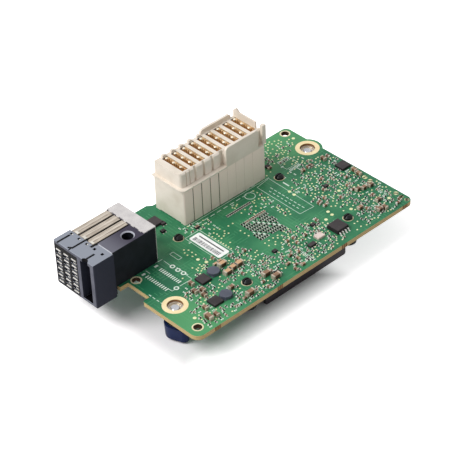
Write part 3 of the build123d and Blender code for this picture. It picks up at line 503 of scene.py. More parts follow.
FINISHES = {
    "board_mask": board_finish(),
    "ferrule_steel": plated("ferrule_steel", (236, 228, 214), (196, 186, 170), rough=0.35,
                            metal=0.6),
    "screw_steel": plated("screw_steel", (222, 224, 228), (176, 178, 184), rough=0.25, metal=0.8),
    "spring_steel": plated("spring_steel", (170, 168, 164), (120, 120, 118)),
    "chip_black": chip_finish(),
    "pad_grey": moulded("pad_grey", (120, 124, 130), (104, 108, 114), rough=0.8),
    "sink_black": plated("sink_black", (52, 46, 50), (34, 31, 35), rough=0.5, stretch=(0.1, 1, 1),
                         metal=0.5),
    "nylon_black": moulded("nylon_black", (24, 27, 27), (14, 16, 16), rough=0.35, shine=0.2),
    "cream_plastic": stack_finish(),
    "contact_gold": beam_finish(),
    "hood_plastic": hood_finish(),
    "dark_plastic": guide_finish(),
    "plate_metal": plated("plate_metal", (218, 214, 212), (194, 190, 190), rough=0.5, metal=0.35),
    "shield_metal": shield_finish(),
    "contact_tin": plated("contact_tin", (240, 240, 238), (200, 200, 200), rough=0.3, metal=0.4),
    "label_paper": label_finish(),
    "ceramic_brown": ceramic_finish(),
    "inductor_grey": moulded("inductor_grey", (88, 92, 106), (70, 74, 88), rough=0.5, grain=0.2),
    "crystal_metal": plated("crystal_metal", (238, 220, 212), (212, 192, 186), rough=0.35,
                            metal=0.5),
    "knob_blue": moulded("knob_blue", (22, 36, 74), (14, 25, 58), rough=0.4, grain=0.8, shine=0.15),
}
SUBPARTS = frame["record"]["subparts"]
for subpart in SUBPARTS:
    mesh = frame["nodes"][subpart["node"]].data
    mesh.materials.clear()
    mesh.materials.append(FINISHES[subpart["material_slot"]])

PAD_TIN = plated("pad_tin", (236, 244, 236), (206, 222, 208), rough=0.4, metal=0.2)
VIA_GOLD = plated("via_gold", (250, 248, 206), (224, 226, 168), rough=0.4, metal=0.2)
RING_GOLD = plated("ring_gold", (255, 238, 194), (246, 222, 170), rough=0.4, metal=0.3)
RING_PALE = plated("ring_pale", (244, 236, 200), (222, 208, 168), rough=0.4, metal=0.3)
SILK = moulded("silk_white", (214, 234, 220), (196, 220, 204), rough=0.7, grain=0.2, depth=0.003)
RESISTOR = moulded("resistor_black", (34, 31, 32), (20, 18, 20), rough=0.4, grain=0.2, shine=0.1)
CERAMIC = moulded("small_ceramic", (140, 100, 74), (96, 66, 48), rough=0.45, grain=0.2)
END_TIN = plated("end_tin", (232, 229, 220), (196, 192, 182), rough=0.35, metal=0.2)
CAP_TIN = plated("cap_tin", (214, 202, 184), (168, 156, 138), rough=0.4, metal=0.25)
PRINT_GREY = moulded("print_grey", (72, 73, 78), (50, 51, 56), rough=0.6, grain=0.2, depth=0.002)
# painted shade for the hood's grooves
GROOVE_SHADE = moulded("groove_shade_black", (16, 17, 22), (10, 11, 15), rough=0.5, grain=0.2, shine=0.1)
# painted highlight for the hood's rear edge
EDGE_HIGHLIGHT = moulded("edge_highlight_pale", (196, 198, 206), (168, 171, 180), rough=0.5, grain=0.2)
# painted shade for the vias' holes
HOLE_SHADE = moulded("hole_shade", (70, 48, 28), (48, 32, 20), rough=0.6, grain=0.2)
# painted shade: the comb teeth a darker tan than their cream
COMB_SHADED_TAN = moulded("comb_cream_shaded", (176, 128, 84), (140, 96, 58), grain=0.2)
# painted highlight: near white ground heads and pale outer beam tips
HEAD_HIGHLIGHT = plated("head_highlight_gold", (255, 250, 232), (246, 228, 196), rough=0.25, metal=0.15)
TIP_HIGHLIGHT = plated("tip_highlight_gold", (250, 218, 168), (212, 160, 102), rough=0.25, metal=0.2)
INNER_GOLD = plated("inner_gold", (214, 158, 94), (166, 112, 58), rough=0.25, metal=0.3)


# Shapes

SQUARE = np.array([(-0.5, -0.5), (0.5, -0.5), (0.5, 0.5), (-0.5, 0.5)])


def round_outline(sides):
    """A regular polygon of radius 1: corner k lies at the angle 2 pi k / sides."""
    angle = np.arange(sides) * 2 * np.pi / sides
    return np.stack([np.cos(angle), np.sin(angle)], 1)


def lofts(outline, centres, sizes, levels, turns=0.0, looped=False):
    """Upright solids, one at each centre, as their points and their blocks of faces.

    Corner k of floor j is the outline's corner k times the solid's size and the floor's share,
    turned, moved to the centre and set at the floor's height. Quads join each floor to the next.
    The first and last floors get a lid, or are joined to each other where the solid is a loop."""
    centres = np.atleast_2d(np.asarray(centres, float))
    count, corners = len(centres), len(outline)
    sizes = np.broadcast_to(np.asarray(sizes, float), (count, 2))
    angle = np.radians(np.broadcast_to(np.asarray(turns, float), (count,)))[:, None, None]
    shares, heights = np.asarray(levels, float).T
    flat = outline[None, None] * sizes[:, None, None] * shares[None, :, None, None]
    x = flat[..., 0] * np.cos(angle) - flat[..., 1] * np.sin(angle) + centres[:, 0, None, None]
    y = flat[..., 0] * np.sin(angle) + flat[..., 1] * np.cos(angle) + centres[:, 1, None, None]
    points = np.stack([x, y, np.broadcast_to(heights[None, :, None], x.shape)], -1).reshape(-1, 3)
    floors = len(shares)
    first = np.arange(count)[:, None, None] * floors * corners
    low = np.arange(floors if looped else floors - 1)[None, :, None]
    high = (low + 1) % floors
    here = np.arange(corners)
    there = np.roll(here, -1)
    quads = np.stack([first + low * corners + here, first + low * corners + there,
                      first + high * corners + there, first + high * corners + here], -1)
    blocks = [quads.reshape(-1, 4)]
    if not looped:
        blocks += [first[:, 0] + here[::-1], first[:, 0] + (floors - 1) * corners + here]
    return points, blocks


def boxes(centres, sizes, low, high, turns=0.0):
    """Boxes between two heights: lofts of a square with two equal rings."""
    return lofts(SQUARE, centres, sizes, [(1, low), (1, high)], turns)


def discs(centres, radius, low, high, sides=8):
    """Flat round pads between two heights."""
    return lofts(round_outline(sides), centres, radius, [(1, low), (1, high)])


def rings(centres, inner, outer, low, high, sides=28):
    """Flat rings: a small upright rectangle carried round a circle."""
    return lofts(round_outline(sides), centres, 1.0,
                 [(outer, low), (outer, high), (inner, high), (inner, low)], looped=True)


def strips(ends, width, low, high):
    """Printed lines: one turned box from each first point to its second, half a width beyond."""
    ends = np.asarray(ends, float).reshape(-1, 2, 2)
    run = ends[:, 1] - ends[:, 0]
    length = np.hypot(run[:, 0], run[:, 1]) + width
    return boxes(ends.mean(1), np.stack([length, np.full(len(ends), width)], 1), low, high,
                 np.degrees(np.arctan2(run[:, 1], run[:, 0])))


def outline_box(x0, y0, x1, y1):
    """The four sides of an upright rectangle, as pairs of points."""
    return [((x0, y0), (x1, y0)), ((x1, y0), (x1, y1)), ((x1, y1), (x0, y1)), ((x0, y1), (x0, y0))]


def row(start, step, count):
    """Points in a row: the start plus 0, 1, 2 and so on steps."""
    return np.asarray(start, float) + np.arange(count)[:, None] * np.asarray(step, float)


def row_boxes(rows, top):
    """Flat boxes in rows: each row gives its first place, its step, how many, and their size."""
    return [boxes(row(start, step, count), size, FLUSH, top) for start, step, count, size in rows]


def shown(name, data):
    """A new object in the scene for a mesh, a lamp or a camera."""
    made = bpy.data.objects.new(name, data)
    bpy.context.scene.collection.objects.link(made)
    return made


def piece(name, slot, material, *shapes):
    """One object made of several shapes, which rides on the card."""
    starts = np.cumsum([0] + [len(points) for points, _ in shapes])
    faces = []
    for (_, blocks), start in zip(shapes, starts):
        for block in blocks:
            faces += (block + start).tolist()
    points = (np.concatenate([points for points, _ in shapes]) + BOARD_CORNER) * MM
    mesh = bpy.data.meshes.new(name)
    mesh.from_pydata(points.tolist(), [], faces)
    mesh.materials.append(material)
    made = shown(name, mesh)
    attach(made, "card")
    return made


def board_box(node):
    """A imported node's low and high corners, in board millimetres."""
    return [np.array(corner) / MM - BOARD_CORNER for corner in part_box(node)]


def solids_of(node):
    """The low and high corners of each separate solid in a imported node, in board millimetres.

    Every corner starts with its own number and takes the lowest number in any triangle that it
    belongs to, until nothing changes; corners with one number make one solid."""
    mesh = frame["nodes"][node].data
    points = np.empty(len(mesh.vertices) * 3)
    mesh.vertices.foreach_get("co", points)
    points = points.reshape(-1, 3) / MM - BOARD_CORNER
    corners = np.empty(len(mesh.loops), int)
    mesh.loops.foreach_get("vertex_index", corners)
    spots, spot = np.unique(np.round(points, 3), axis=0, return_inverse=True)
    triangles = spot.reshape(-1)[corners].reshape(-1, 3)
    number = np.arange(len(spots))
    settled = False
    while not settled:
        lowest = number[triangles].min(1)
        fresh = number.copy()
        for corner in range(3):
            np.minimum.at(fresh, triangles[:, corner], lowest)
        fresh = fresh[fresh]
        settled = bool((fresh == number).all())
        number = fresh
    return [(spots[number == one].min(0), spots[number == one].max(0)) for one in np.unique(number)]


# The board's printed and plated detail

# Vias, round pads and ring pads, by the picture point at which the camera sees each
VIA_POINTS = [
    (184, 250), (188.5, 250.2), (184.7, 253), (187.5, 255.2), (192, 252.5), (195.7, 254.7),
    (192.5, 256.5), (199.7, 264.7), (201.8, 266.3), (204.3, 267.7), (192.4, 268), (198.3, 268),
    (197.9, 270.7), (201.4, 270.9), (200.2, 273.7), (203.8, 265), (182.6, 278.4), (209.3, 276.5),
    (213.5, 279), (213.7, 233), (209, 235.3), (217, 234.2), (212.4, 236.8), (219, 236.2),
    (215.3, 238.7), (224.4, 231), (228.6, 233.2), (223.8, 236), (221.6, 238.4), (224.7, 233.6),
    (219.7, 229.2), (232.8, 223.5), (228.4, 226), (230.2, 242.5), (218.5, 240.8), (221, 242.3),
    (223.3, 243.8), (226, 245.3), (228.6, 247), (231.2, 248.7), (238.2, 252.4), (247, 253.8),
    (243.7, 255.2), (256.9, 250.7), (255.7, 256.6), (244.7, 233.2), (248.7, 235.7), (240.5, 230.7),
    (266.6, 260.5), (271.3, 263.2), (253, 275.9), (246.4, 272.6), (238.8, 275.6), (222.4, 286.3),
    (219.7, 284.3), (240, 288.5), (288, 229), (284, 231.5), (288, 234.2), (281.8, 235.4),
    (277.6, 235.3), (289.3, 238), (277.8, 238), (273.2, 238), (283.7, 239.6), (269, 240.5),
    (275.5, 241.8), (281.5, 242.9), (269, 245.6), (275.4, 244.4), (282.4, 247), (265, 243.2),
    (296.3, 234), (298.6, 238.5), (292.8, 242.5), (289, 243.5), (301.7, 245), (305.5, 239.2),
    (310.9, 235.4), (322, 227.4), (324.8, 225), (327.7, 223.4), (330.5, 239.3), (279, 252.4),
    (293, 262.8), (329, 247.5), (333.3, 246.2), (328.5, 249.3), (319.5, 255), (274.5, 141.3),
    (278.6, 140.4), (281.2, 142), (287, 141.5), (278.3, 143.5), (276.2, 145.3), (286.2, 146.4),
    (279.5, 148.7), (277.1, 150.5), (282.5, 150.3), (289, 139.5), (272.7, 149.2), (284.2, 152.3),
    (287.9, 153.8), (276, 153.6), (272.8, 156.4), (288, 156.6), (294, 157.2), (290.6, 158),
    (281.8, 158.5), (278.4, 159.3), (297.9, 159.3), (302.1, 162.6), (297, 161.6), (272, 159.4),
    (306.5, 175.4), (306, 178.3), (302.1, 180.6), (301.2, 183), (306.6, 181.2), (308, 184),
    (310, 186), (312, 183.7), (302, 188.5), (292, 187.5), (296.4, 189.3), (311, 178.5),
    (315.5, 162.2), (329.6, 166), (327.4, 169), (326.2, 174.8), (331, 174.2), (333.2, 172.3),
    (333.3, 157.5), (308.5, 172.6), (303, 192.8), (315.5, 190.2), (318.8, 192.5), (315.2, 194),
    (315.3, 196.6), (322, 195.4), (326, 195.9), (329, 194.8), (333.6, 196), (326.6, 189.8),
    (333.5, 198.5), (338, 195.2), (343, 185.7), (337.7, 184.8), (333, 201), (347, 192.5),
    (316.8, 182.4), (382.5, 187), (386, 187), (382, 190), (371.7, 192.6), (369, 194.3),
    (371.5, 199.3), (363.8, 198.7), (353, 205.5), (366, 217.2), (357.5, 221.4), (354.5, 223.5),
    (366.7, 224.8), (361, 226.3), (357.3, 229.7), (384.5, 202.8), (374.5, 218), (343.5, 210.7),
]
ROUND_PAD_POINTS = [
    (198, 259.6), (206.4, 262), (194.7, 318), (289.5, 191.6), (294.2, 194.7), (328, 211.7),
    (332, 214.7), (326, 219.6), (351, 209), (339, 190.7), (293.3, 138.4), (389, 198),
]
GREY_RING_POINTS = [(172.5, 266.5), (178, 270), (183.5, 273.2), (176.4, 288.2)]
GOLD_RING_POINTS = [(365, 177.5), (370, 181), (396, 193.5), (401.3, 196.5), (406.7, 199.5)]
GOLD_RING_PLACES = [(98.5, 6.7), (98.3, 4.0), (98.4, 1.5), (97.7, 20.8), (97.6, 18.0)]
VIA_RADIUS = 0.31
VIA_CLEARANCE = 0.2
ROUND_PAD_RADIUS = 0.62

# Inner and outer radius of each kind of ring
SCREW_RING = (2.72, 4.35)
TOOLING_RING = (1.47, 1.95)
PIN_RING = (1.62, 1.92)
GOLD_RING = (0.42, 0.82)
GREY_RING = (0.5, 0.95)
PRINT_RING = (1.7, 1.95)

# The areas where small parts crowd, by their corners in the picture, with how many places are
# tried in each and the shares of resistors, ceramic capacitors, bare pad pairs, vias and
# capacitors of the next size up
CROWDS = [
    ([(262, 141), (300, 141), (312, 158), (296, 170), (263, 163)], 240,
     (0.16, 0.08, 0.16, 0.58, 0.02)),
    ([(236, 184), (262, 170), (304, 172), (306, 200), (286, 214), (262, 202)], 300,
     (0.2, 0.06, 0.4, 0.3, 0.04)),
    ([(300, 158), (340, 156), (352, 176), (350, 208), (312, 206), (300, 186)], 840,
     (0.36, 0.1, 0.18, 0.22, 0.14)),
    ([(345, 158), (372, 162), (404, 188), (398, 210), (366, 226), (350, 206)], 840,
     (0.36, 0.12, 0.16, 0.2, 0.16)),
    ([(284, 232), (316, 218), (350, 232), (330, 256), (300, 270), (276, 256)], 760,
     (0.42, 0.1, 0.14, 0.22, 0.12)),
    ([(196, 262), (236, 246), (290, 262), (274, 288), (226, 316), (196, 296)], 1240,
     (0.4, 0.13, 0.13, 0.18, 0.16)),
    ([(180, 286), (204, 292), (226, 316), (212, 330), (190, 312)], 320,
     (0.4, 0.12, 0.2, 0.2, 0.08)),
    ([(176, 228), (206, 218), (222, 226), (200, 242), (184, 246)], 140,
     (0.2, 0.1, 0.3, 0.4, 0.0)),
    ([(228, 206), (262, 196), (292, 214), (262, 224), (244, 218)], 120,
     (0.1, 0.1, 0.2, 0.6, 0.0)),
]
VIA_KIND = 3
MIDDLE_KIND = 4
CROWD_SEED = 11
NEIGHBOUR_GAP = 0.17
NEAR_MARGIN = 0.6
FAR_LIMIT = np.array([BOARD_LENGTH, BOARD_WIDTH]) - 0.7

# Small two-ended parts: their size, the heights of their ends, how far the bodies lie below the
# ends, and the share of the length that one end takes
SMALL_LENGTH = 1.0
SMALL_WIDTH = 0.5
MIDDLE_SIZE = 1.6
MIDDLE_TOP = 0.8
MIDDLE_END_SHARE = 0.2
RESISTOR_TOP = 0.35
CERAMIC_TOP = 0.5
BODY_DROP = 0.03
END_SHARE = 0.22
CAPACITOR_END_SHARE = 0.18
END_PROUD = 0.03
UNDERSIDE_LEVEL = -1.0
STANDING_LOW = 0.5

# Two bare pads where no part is fitted, and the solder that shows past a fitted part's ends: how
# far from its middle, as a share of its length, and the size
BARE_PAIR = (0.31, (0.42, 0.5))
SOLDER_PAIR = (0.48, (0.4, 0.56))

# The close grid of decoupling capacitors, its corners in the picture
GRID_CORNERS = [(247, 222), (264, 212), (270, 214), (287, 228), (262, 241), (240, 226)]
GRID_START = (47.6, 18.6)
GRID_STEP = (1.0, 1.45)
GRID_COUNT = (14, 10)
GRID_SEED = 3
GRID_KEPT = 0.9
GRID_BARE_EVERY = 7
GRID_BODY = (0.42, 1.0)
GRID_END = (0.42, 0.14)
GRID_END_SHIFT = (0, 0.56)
GRID_BARE_PAD = (0.5, 1.1)
GRID_BETWEEN_PAD = (0.26, 0.9)
GRID_BETWEEN_SHIFT = (GRID_STEP[0] / 2, 0)

# Two rows of small parts beside the stacking connector
DARK_ROW = row((49.4, 38.6), (0.8, 0), 14)
PALE_ROW = row((51.4, 31.6), (0.95, 0), 10)

# Rows of bare pads, each with its first place, step, number and size: the fine connector's two
# columns, a small chip's two rows and a bundle by the front edge
PAD_ROWS = [
    ((14.8, 33.9), (0, -0.92), 11, (1.5, 0.42)), ((9.3, 34.3), (0, -0.95), 11, (1.5, 0.42)),
    ((82.8, 48.0), (0.65, 0), 8, (0.32, 1.3)), ((82.8, 42.1), (0.65, 0), 8, (0.32, 1.3)),
    ((53.2, 1.4), (0, 0.66), 10, (1.5, 0.3)),
]
SINGLE_PADS = [(78.5, 41.0), (76.05, 37.4), (9.2, 36.0), (14.9, 36.2)]
SINGLE_PAD_SIZES = [(0.5, 2.1), (0.5, 3.0), (1.4, 0.8), (1.4, 0.8)]

# White printed lines: runs on the board's axes, runs by the picture points of their two ends, rows
# of dashes and one ring
PRINT_RUNS = [
    ((36, 44.4), (74.5, 44.4)), ((67.8, 43.2), (74.2, 44.1)), ((74.2, 44.1), (73.7, 21.6)),
    ((73.7, 21.6), (67.5, 22.1)), ((67.5, 22.1), (67.8, 43.2)),
    *outline_box(31.4, 23.5, 37.8, 40.2), *outline_box(22.2, 33.4, 23.8, 37.7),
    *outline_box(82.3, 43.3, 88.0, 46.8),
]
PRINT_RUN_POINTS = [
    (142, 270), (162, 259.5), (164, 261), (171, 266), (185, 274), (192, 279),
    (180, 286), (192, 279), (146, 271), (150, 273.5), (168, 288.5), (172, 291),
    (172, 291), (176, 289), (128, 262), (133, 259), (136, 281), (140, 283.5),
    (206, 300), (212, 296.5),
]
DASH_ROWS = [
    ((70.9, 24.0), (0, 1.9), 9, (0.28, 1.25)), ((69.3, 25.0), (0, 1.9), 8, (0.28, 1.0)),
    ((40.5, 42.9), (3.0, 0), 9, (1.9, 0.28)), ((19.2, 26.0), (0, 2.1), 4, (0.28, 1.3)),
    ((3.6, 26.5), (0, -1.9), 4, (0.28, 1.1)), ((64.9, 44.9), (2.6, 0), 2, (1.6, 0.28)),
]
PRINT_RING_POINT = (250, 196)
RUN_WIDTH = 0.17
POINT_RUN_WIDTH = 0.2

# Flat boxes, x0, y0, x1, y1, that the crowds leave free: printed frames, the fine connector's pads
# and the front and left edges
KEPT_FREE = [
    (32.0, 23.4, 38.0, 40.4), (67.0, 21.0, 74.5, 44.6), (21.8, 33.0, 24.2, 38.0),
    (7.5, 24.0, 16.2, 35.0), (0, 0, BOARD_LENGTH, 0.7), (0, 0, 0.7, 30),
]


def inside(points, corners):
    """For each point, whether a line from it along +X crosses the polygon's sides an odd number
    of times."""
    x, y = np.asarray(points, float).T[:, :, None]
    x0, y0 = np.asarray(corners, float).T
    x1, y1 = np.roll(x0, -1), np.roll(y0, -1)
    spans = (y0 > y) != (y1 > y)
    rise = np.where(y1 == y0, 1.0, y1 - y0)
    return (spans & (x < x0 + (y - y0) / rise * (x1 - x0))).sum(1) % 2 == 1


def clear_of(boxes_taken, low, high):
    """Whether the flat box from low to high touches none of the boxes, each x0, y0, x1, y1."""
    apart = ((boxes_taken[:, 0] > high[0]) | (boxes_taken[:, 2] < low[0])
             | (boxes_taken[:, 1] > high[1]) | (boxes_taken[:, 3] < low[1]))
    return bool(apart.all())


def around(points, reach):
    """Flat boxes that reach the same way on every side of each point."""
    points = np.atleast_2d(points)
    return np.hstack([points - reach, points + reach])


def standing_boxes():
    """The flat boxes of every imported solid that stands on, or passes through, the board's top."""
    nodes = [subpart["node"] for subpart in SUBPARTS if subpart["node"] != "circuit_board"]
    return np.array([(*low[:2], *high[:2]) for node in nodes for low, high in solids_of(node)
                     if high[2] > INK_TOP and low[2] < STANDING_LOW])


def crowd(taken):
    """Small parts strewn over the crowded areas on the board's own axes: seeded places, each kept
    only where its outline, with a gap, touches nothing before it. Each row of the result is a
    place, a turn and a kind."""
    random = np.random.default_rng(CROWD_SEED)
    kept = []
    for corners, count, shares in CROWDS:
        area = cast(corners)
        places = random.uniform(area.min(0), area.max(0), (count, 2)).round(1)
        turned = random.random(count) < 0.5
        kinds = random.choice(len(shares), count, p=shares)
        for place, turn, kind, fits in zip(places, turned, kinds, inside(places, area)):
            half = np.array([SMALL_LENGTH, SMALL_WIDTH]) / 2
            if kind == VIA_KIND:
                half = np.array([VIA_RADIUS, VIA_RADIUS])
            if kind == MIDDLE_KIND:
                half = half * MIDDLE_SIZE
            if turn:
                half = half[::-1]
            low, high = place - half - NEIGHBOUR_GAP, place + half + NEIGHBOUR_GAP
            on_board = low.min() > NEAR_MARGIN and (high < FAR_LIMIT).all()
            if fits and on_board and clear_of(taken, low, high):
                taken = np.vstack([taken, [*(place - half), *(place + half)]])
                kept.append((*place, 90.0 if turn else 0.0, kind))
    return np.array(kept)


def close_grid():
    """The grid's places inside its area, less a seeded tenth: those with a part, and those left
    bare, where the column plus the row is a multiple of seven."""
    columns, rows = GRID_COUNT
    cell = np.stack(np.meshgrid(np.arange(columns), np.arange(rows)), -1).reshape(-1, 2)
    places = np.array(GRID_START) + cell * GRID_STEP
    drawn = np.random.default_rng(GRID_SEED).random(len(cell)) < GRID_KEPT
    kept = inside(places, cast(GRID_CORNERS)) & drawn
    fitted = cell.sum(1) % GRID_BARE_EVERY > 0
    return places[kept & fitted], places[kept & ~fitted]


def either_way(places, turns, reach):
    """Two places for each one: a reach back and a reach on along its own turned length."""
    angle = np.radians(turns)
    step = np.stack([np.cos(angle), np.sin(angle)], 1) * reach
    return np.vstack([places - step, places + step])


def small_parts(places, turns, top, size=1.0, end_share=END_SHARE):
    """Bodies and end caps of small two-ended parts: the body fills the middle of the length."""
    length, width = SMALL_LENGTH * size, SMALL_WIDTH * size
    body = boxes(places, (length * (1 - 2 * end_share), width), FLUSH, top - BODY_DROP, turns)
    caps = boxes(either_way(places, turns, length * (1 - end_share) / 2),
                 (length * end_share, width), FLUSH, top, np.tile(turns, 2))
    return body, caps


def pad_pairs(places, turns, share, size):
    """Two pads for each place, a share of a small part's length to either side of it."""
    return boxes(either_way(places, turns, SMALL_LENGTH * share), size, FLUSH, PAD_TOP,
                 np.tile(turns, 2))


def capacitor_ends(*nodes):
    """Bright end caps that sleeve both ends of each larger capacitor, a hair proud of it on every
    side but the board's."""
    shapes = []
    for low, high in [corners for node in nodes for corners in solids_of(node)]:
        size = high - low
        along = int(size[1] > size[0])
        hangs = low[2] < UNDERSIDE_LEVEL
        bottom, top = (low[2] - END_PROUD, high[2]) if hangs else (low[2], high[2] + END_PROUD)
        for far_end in (False, True):
            first, last = low[:2] - END_PROUD, high[:2] + END_PROUD
            if far_end:
                first[along] = high[along] - size[along] * CAPACITOR_END_SHARE
            else:
                last[along] = low[along] + size[along] * CAPACITOR_END_SHARE
            shapes.append(boxes((first + last) / 2, last - first, bottom, top))
    return shapes


vias = cast(VIA_POINTS)
round_pads = cast(ROUND_PAD_POINTS)
grey_rings = cast(GREY_RING_POINTS)
gold_rings = np.vstack([cast(GOLD_RING_POINTS), GOLD_RING_PLACES])
print_ring = cast([PRINT_RING_POINT])
fitted_grid, bare_grid = close_grid()

# Every place that is taken before the crowds, with the reach that each kind needs. The vias that
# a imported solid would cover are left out
standing = standing_boxes()
taken = np.vstack([standing, KEPT_FREE] + [around(places, reach) for places, reach in (
    (vias, VIA_RADIUS), (round_pads, ROUND_PAD_RADIUS), (grey_rings, 1.0), (gold_rings, 0.9),
    (fitted_grid, 0.6), (bare_grid, 0.6), (DARK_ROW, 0.6), (PALE_ROW, 0.6), (print_ring, 2.2),
    (SCREW_PLACES, 4.6))])
vias = vias[[clear_of(standing, place - VIA_CLEARANCE, place + VIA_CLEARANCE) for place in vias]]
strewn = crowd(taken)
places, turns, kinds = strewn[:, :2], strewn[:, 2], strewn[:, 3].astype(int)
resistors, ceramics, pairs, more_vias, middles = [(places[kinds == kind], turns[kinds == kind])
                                                  for kind in range(MIDDLE_KIND + 1)]

resistor_bodies, resistor_ends = small_parts(*resistors, RESISTOR_TOP)
ceramic_bodies, ceramic_ends = small_parts(*ceramics, CERAMIC_TOP)
middle_bodies, middle_ends = small_parts(*middles, MIDDLE_TOP, MIDDLE_SIZE, MIDDLE_END_SHARE)
dark_bodies, dark_ends = small_parts(DARK_ROW, np.full(len(DARK_ROW), 90.0), RESISTOR_TOP)
pale_bodies, pale_ends = small_parts(PALE_ROW, np.full(len(PALE_ROW), 90.0), CERAMIC_TOP)
grid_bodies = boxes(fitted_grid, GRID_BODY, FLUSH, RESISTOR_TOP - BODY_DROP)
grid_ends = boxes(np.vstack([fitted_grid + GRID_END_SHIFT, fitted_grid - GRID_END_SHIFT]),
                  GRID_END, FLUSH, RESISTOR_TOP)

piece("resistors", "chip_black", RESISTOR, resistor_bodies, grid_bodies, dark_bodies)
piece("small_ceramics", "ceramic_brown", CERAMIC, ceramic_bodies, pale_bodies, middle_bodies)
piece("small_part_ends", "contact_tin", END_TIN, resistor_ends, ceramic_ends, grid_ends, dark_ends,
      pale_ends, middle_ends)
piece("capacitor_ends", "contact_tin", CAP_TIN,
      *capacitor_ends("large_capacitors", "medium_capacitors", "small_capacitors",
                      "underside_capacitors"))
piece("vias", "contact_gold", VIA_GOLD, discs(vias, VIA_RADIUS, FLUSH, PAD_TOP),
      discs(more_vias[0], VIA_RADIUS, FLUSH, PAD_TOP),
      discs(round_pads, ROUND_PAD_RADIUS, FLUSH, PAD_TOP, 12),
      rings(gold_rings, *GOLD_RING, FLUSH, PAD_TOP, 12))
# Dark discs in the gold rings: painted shade where the vias' holes open
piece("via_hole_shade", "chip_black", HOLE_SHADE, discs(gold_rings, GOLD_RING[0], FLUSH, INK_TOP, 10))
piece("bare_pads", "contact_tin", PAD_TIN, *row_boxes(PAD_ROWS, PAD_TOP),
      boxes(SINGLE_PADS, SINGLE_PAD_SIZES, FLUSH, PAD_TOP),
      boxes(bare_grid, GRID_BARE_PAD, FLUSH, PAD_TOP),
      boxes(fitted_grid + GRID_BETWEEN_SHIFT, GRID_BETWEEN_PAD, FLUSH, PAD_TOP),
      pad_pairs(*pairs, *BARE_PAIR), pad_pairs(*resistors, *SOLDER_PAIR),
      pad_pairs(*ceramics, *SOLDER_PAIR), rings(grey_rings, *GREY_RING, FLUSH, PAD_TOP, 14))
piece("hole_rings", "contact_gold", RING_GOLD,
      rings(SCREW_PLACES, *SCREW_RING, FLUSH, PAD_TOP, 48))
piece("small_rings", "contact_gold", RING_PALE,
      rings(TOOLING_PLACES, *TOOLING_RING, FLUSH, PAD_TOP, 28),
      rings(PIN_PLACES, *PIN_RING, FLUSH, PAD_TOP, 28))
piece("printed_lines", "label_paper", SILK,
      strips(PRINT_RUNS, RUN_WIDTH, FLUSH, INK_TOP),
      strips(cast(PRINT_RUN_POINTS), POINT_RUN_WIDTH, FLUSH, INK_TOP),
      *row_boxes(DASH_ROWS, INK_TOP), rings(print_ring, *PRINT_RING, FLUSH, INK_TOP, 28))

# Grey bars across the label, of seeded widths and gaps, and one long bar beside them
BAR_COUNT = 30
BAR_SEED = 5
BAR_WIDTHS = [0.12, 0.18, 0.28]
BAR_GAPS = [0.13, 0.2, 0.3]
BAR_LENGTH = 1.7
BAR_SHIFT = 1.5
BAR_MARGIN = 1.1
BAR_HEIGHT = 0.01
LONG_BAR_WIDTH = 0.5
LONG_BAR_SHIFT = 3.5
LONG_BAR_MARGIN = 1.5


def label_bars():
    """Each bar ends where the widths and gaps up to it add up to, scaled to the label's length
    less a margin at each end."""
    low, high = board_box("label")
    length = high[1] - low[1]
    random = np.random.default_rng(BAR_SEED)
    widths = random.choice(BAR_WIDTHS, BAR_COUNT)
    ends = np.cumsum(widths + random.choice(BAR_GAPS, BAR_COUNT))
    scale = (length - 2 * BAR_MARGIN) / ends[-1]
    middles = low[1] + BAR_MARGIN + (ends - widths / 2) * scale
    bars = boxes(np.stack([np.full(BAR_COUNT, low[0] + BAR_SHIFT), middles], 1),
                 np.stack([np.full(BAR_COUNT, BAR_LENGTH), widths * scale], 1),
                 high[2], high[2] + BAR_HEIGHT)
    long_bar = boxes([(low[0] + LONG_BAR_SHIFT, low[1] + length / 2)],
                     (LONG_BAR_WIDTH, length - 2 * LONG_BAR_MARGIN), high[2], high[2] + BAR_HEIGHT)
    return bars, long_bar


piece("label_bars", "pad_grey", PRINT_GREY, *label_bars())


# The connectors' fine detail

# In each slot: the comb's teeth along its low side, round ground heads down its middle, and two
# columns of beam tips. The heads and outer tips are near white and pale with a painted highlight,
# and the teeth a darker tan than their cream with painted shade. Shifts are from the slot's start,
# and rows are counted in contacts
CONTACT_PITCH = 0.895
COMB_ROWS = np.arange(11) + 1
COMB_SIZE = (0.38, 0.42)
COMB_BOTTOM = STACK_TOP - 2.4
COMB_TOP = STACK_TOP - 0.6
HEAD_ROWS = np.array([3.5, 7.5, 11.5])
HEAD_SHIFT = 1.55
HEAD_RADIUS = 0.56
TIP_ROWS = np.arange(12) + 0.5
TIP_SHIFT = 2.0
TIP_SIZE = (0.95, 0.44)
INNER_TIP_SHIFT = 0.8
INNER_TIP_SIZE = (0.7, 0.42)

# The floors of each loft: each floor's share of the full size and its height
HEAD_LEVELS = [(0.9, 19.3), (1.0, 19.5), (0.72, 19.68), (0.3, 19.78)]
TIP_LEVELS = [(0.8, 18.7), (1.0, 19.2), (1.0, 19.5), (0.6, 19.68)]
INNER_TIP_LEVELS = [(0.8, 18.3), (1.0, 18.8), (1.0, 19.2), (0.6, 19.4)]
CHIP_LEVELS = [(1.0, 0.08), (1.0, 0.6), (0.9, 0.78)]


def slot_places(shift, rows):
    """Places in all the slots: a shift in from each slot's start, at some rows of contacts."""
    x, y = np.meshgrid(STACK_SLOT_START + np.arange(STACK_SLOTS) * STACK_PITCH + shift,
                       STACK_SLOT_FRONT + rows * CONTACT_PITCH)
    return np.stack([x.ravel(), y.ravel()], 1)


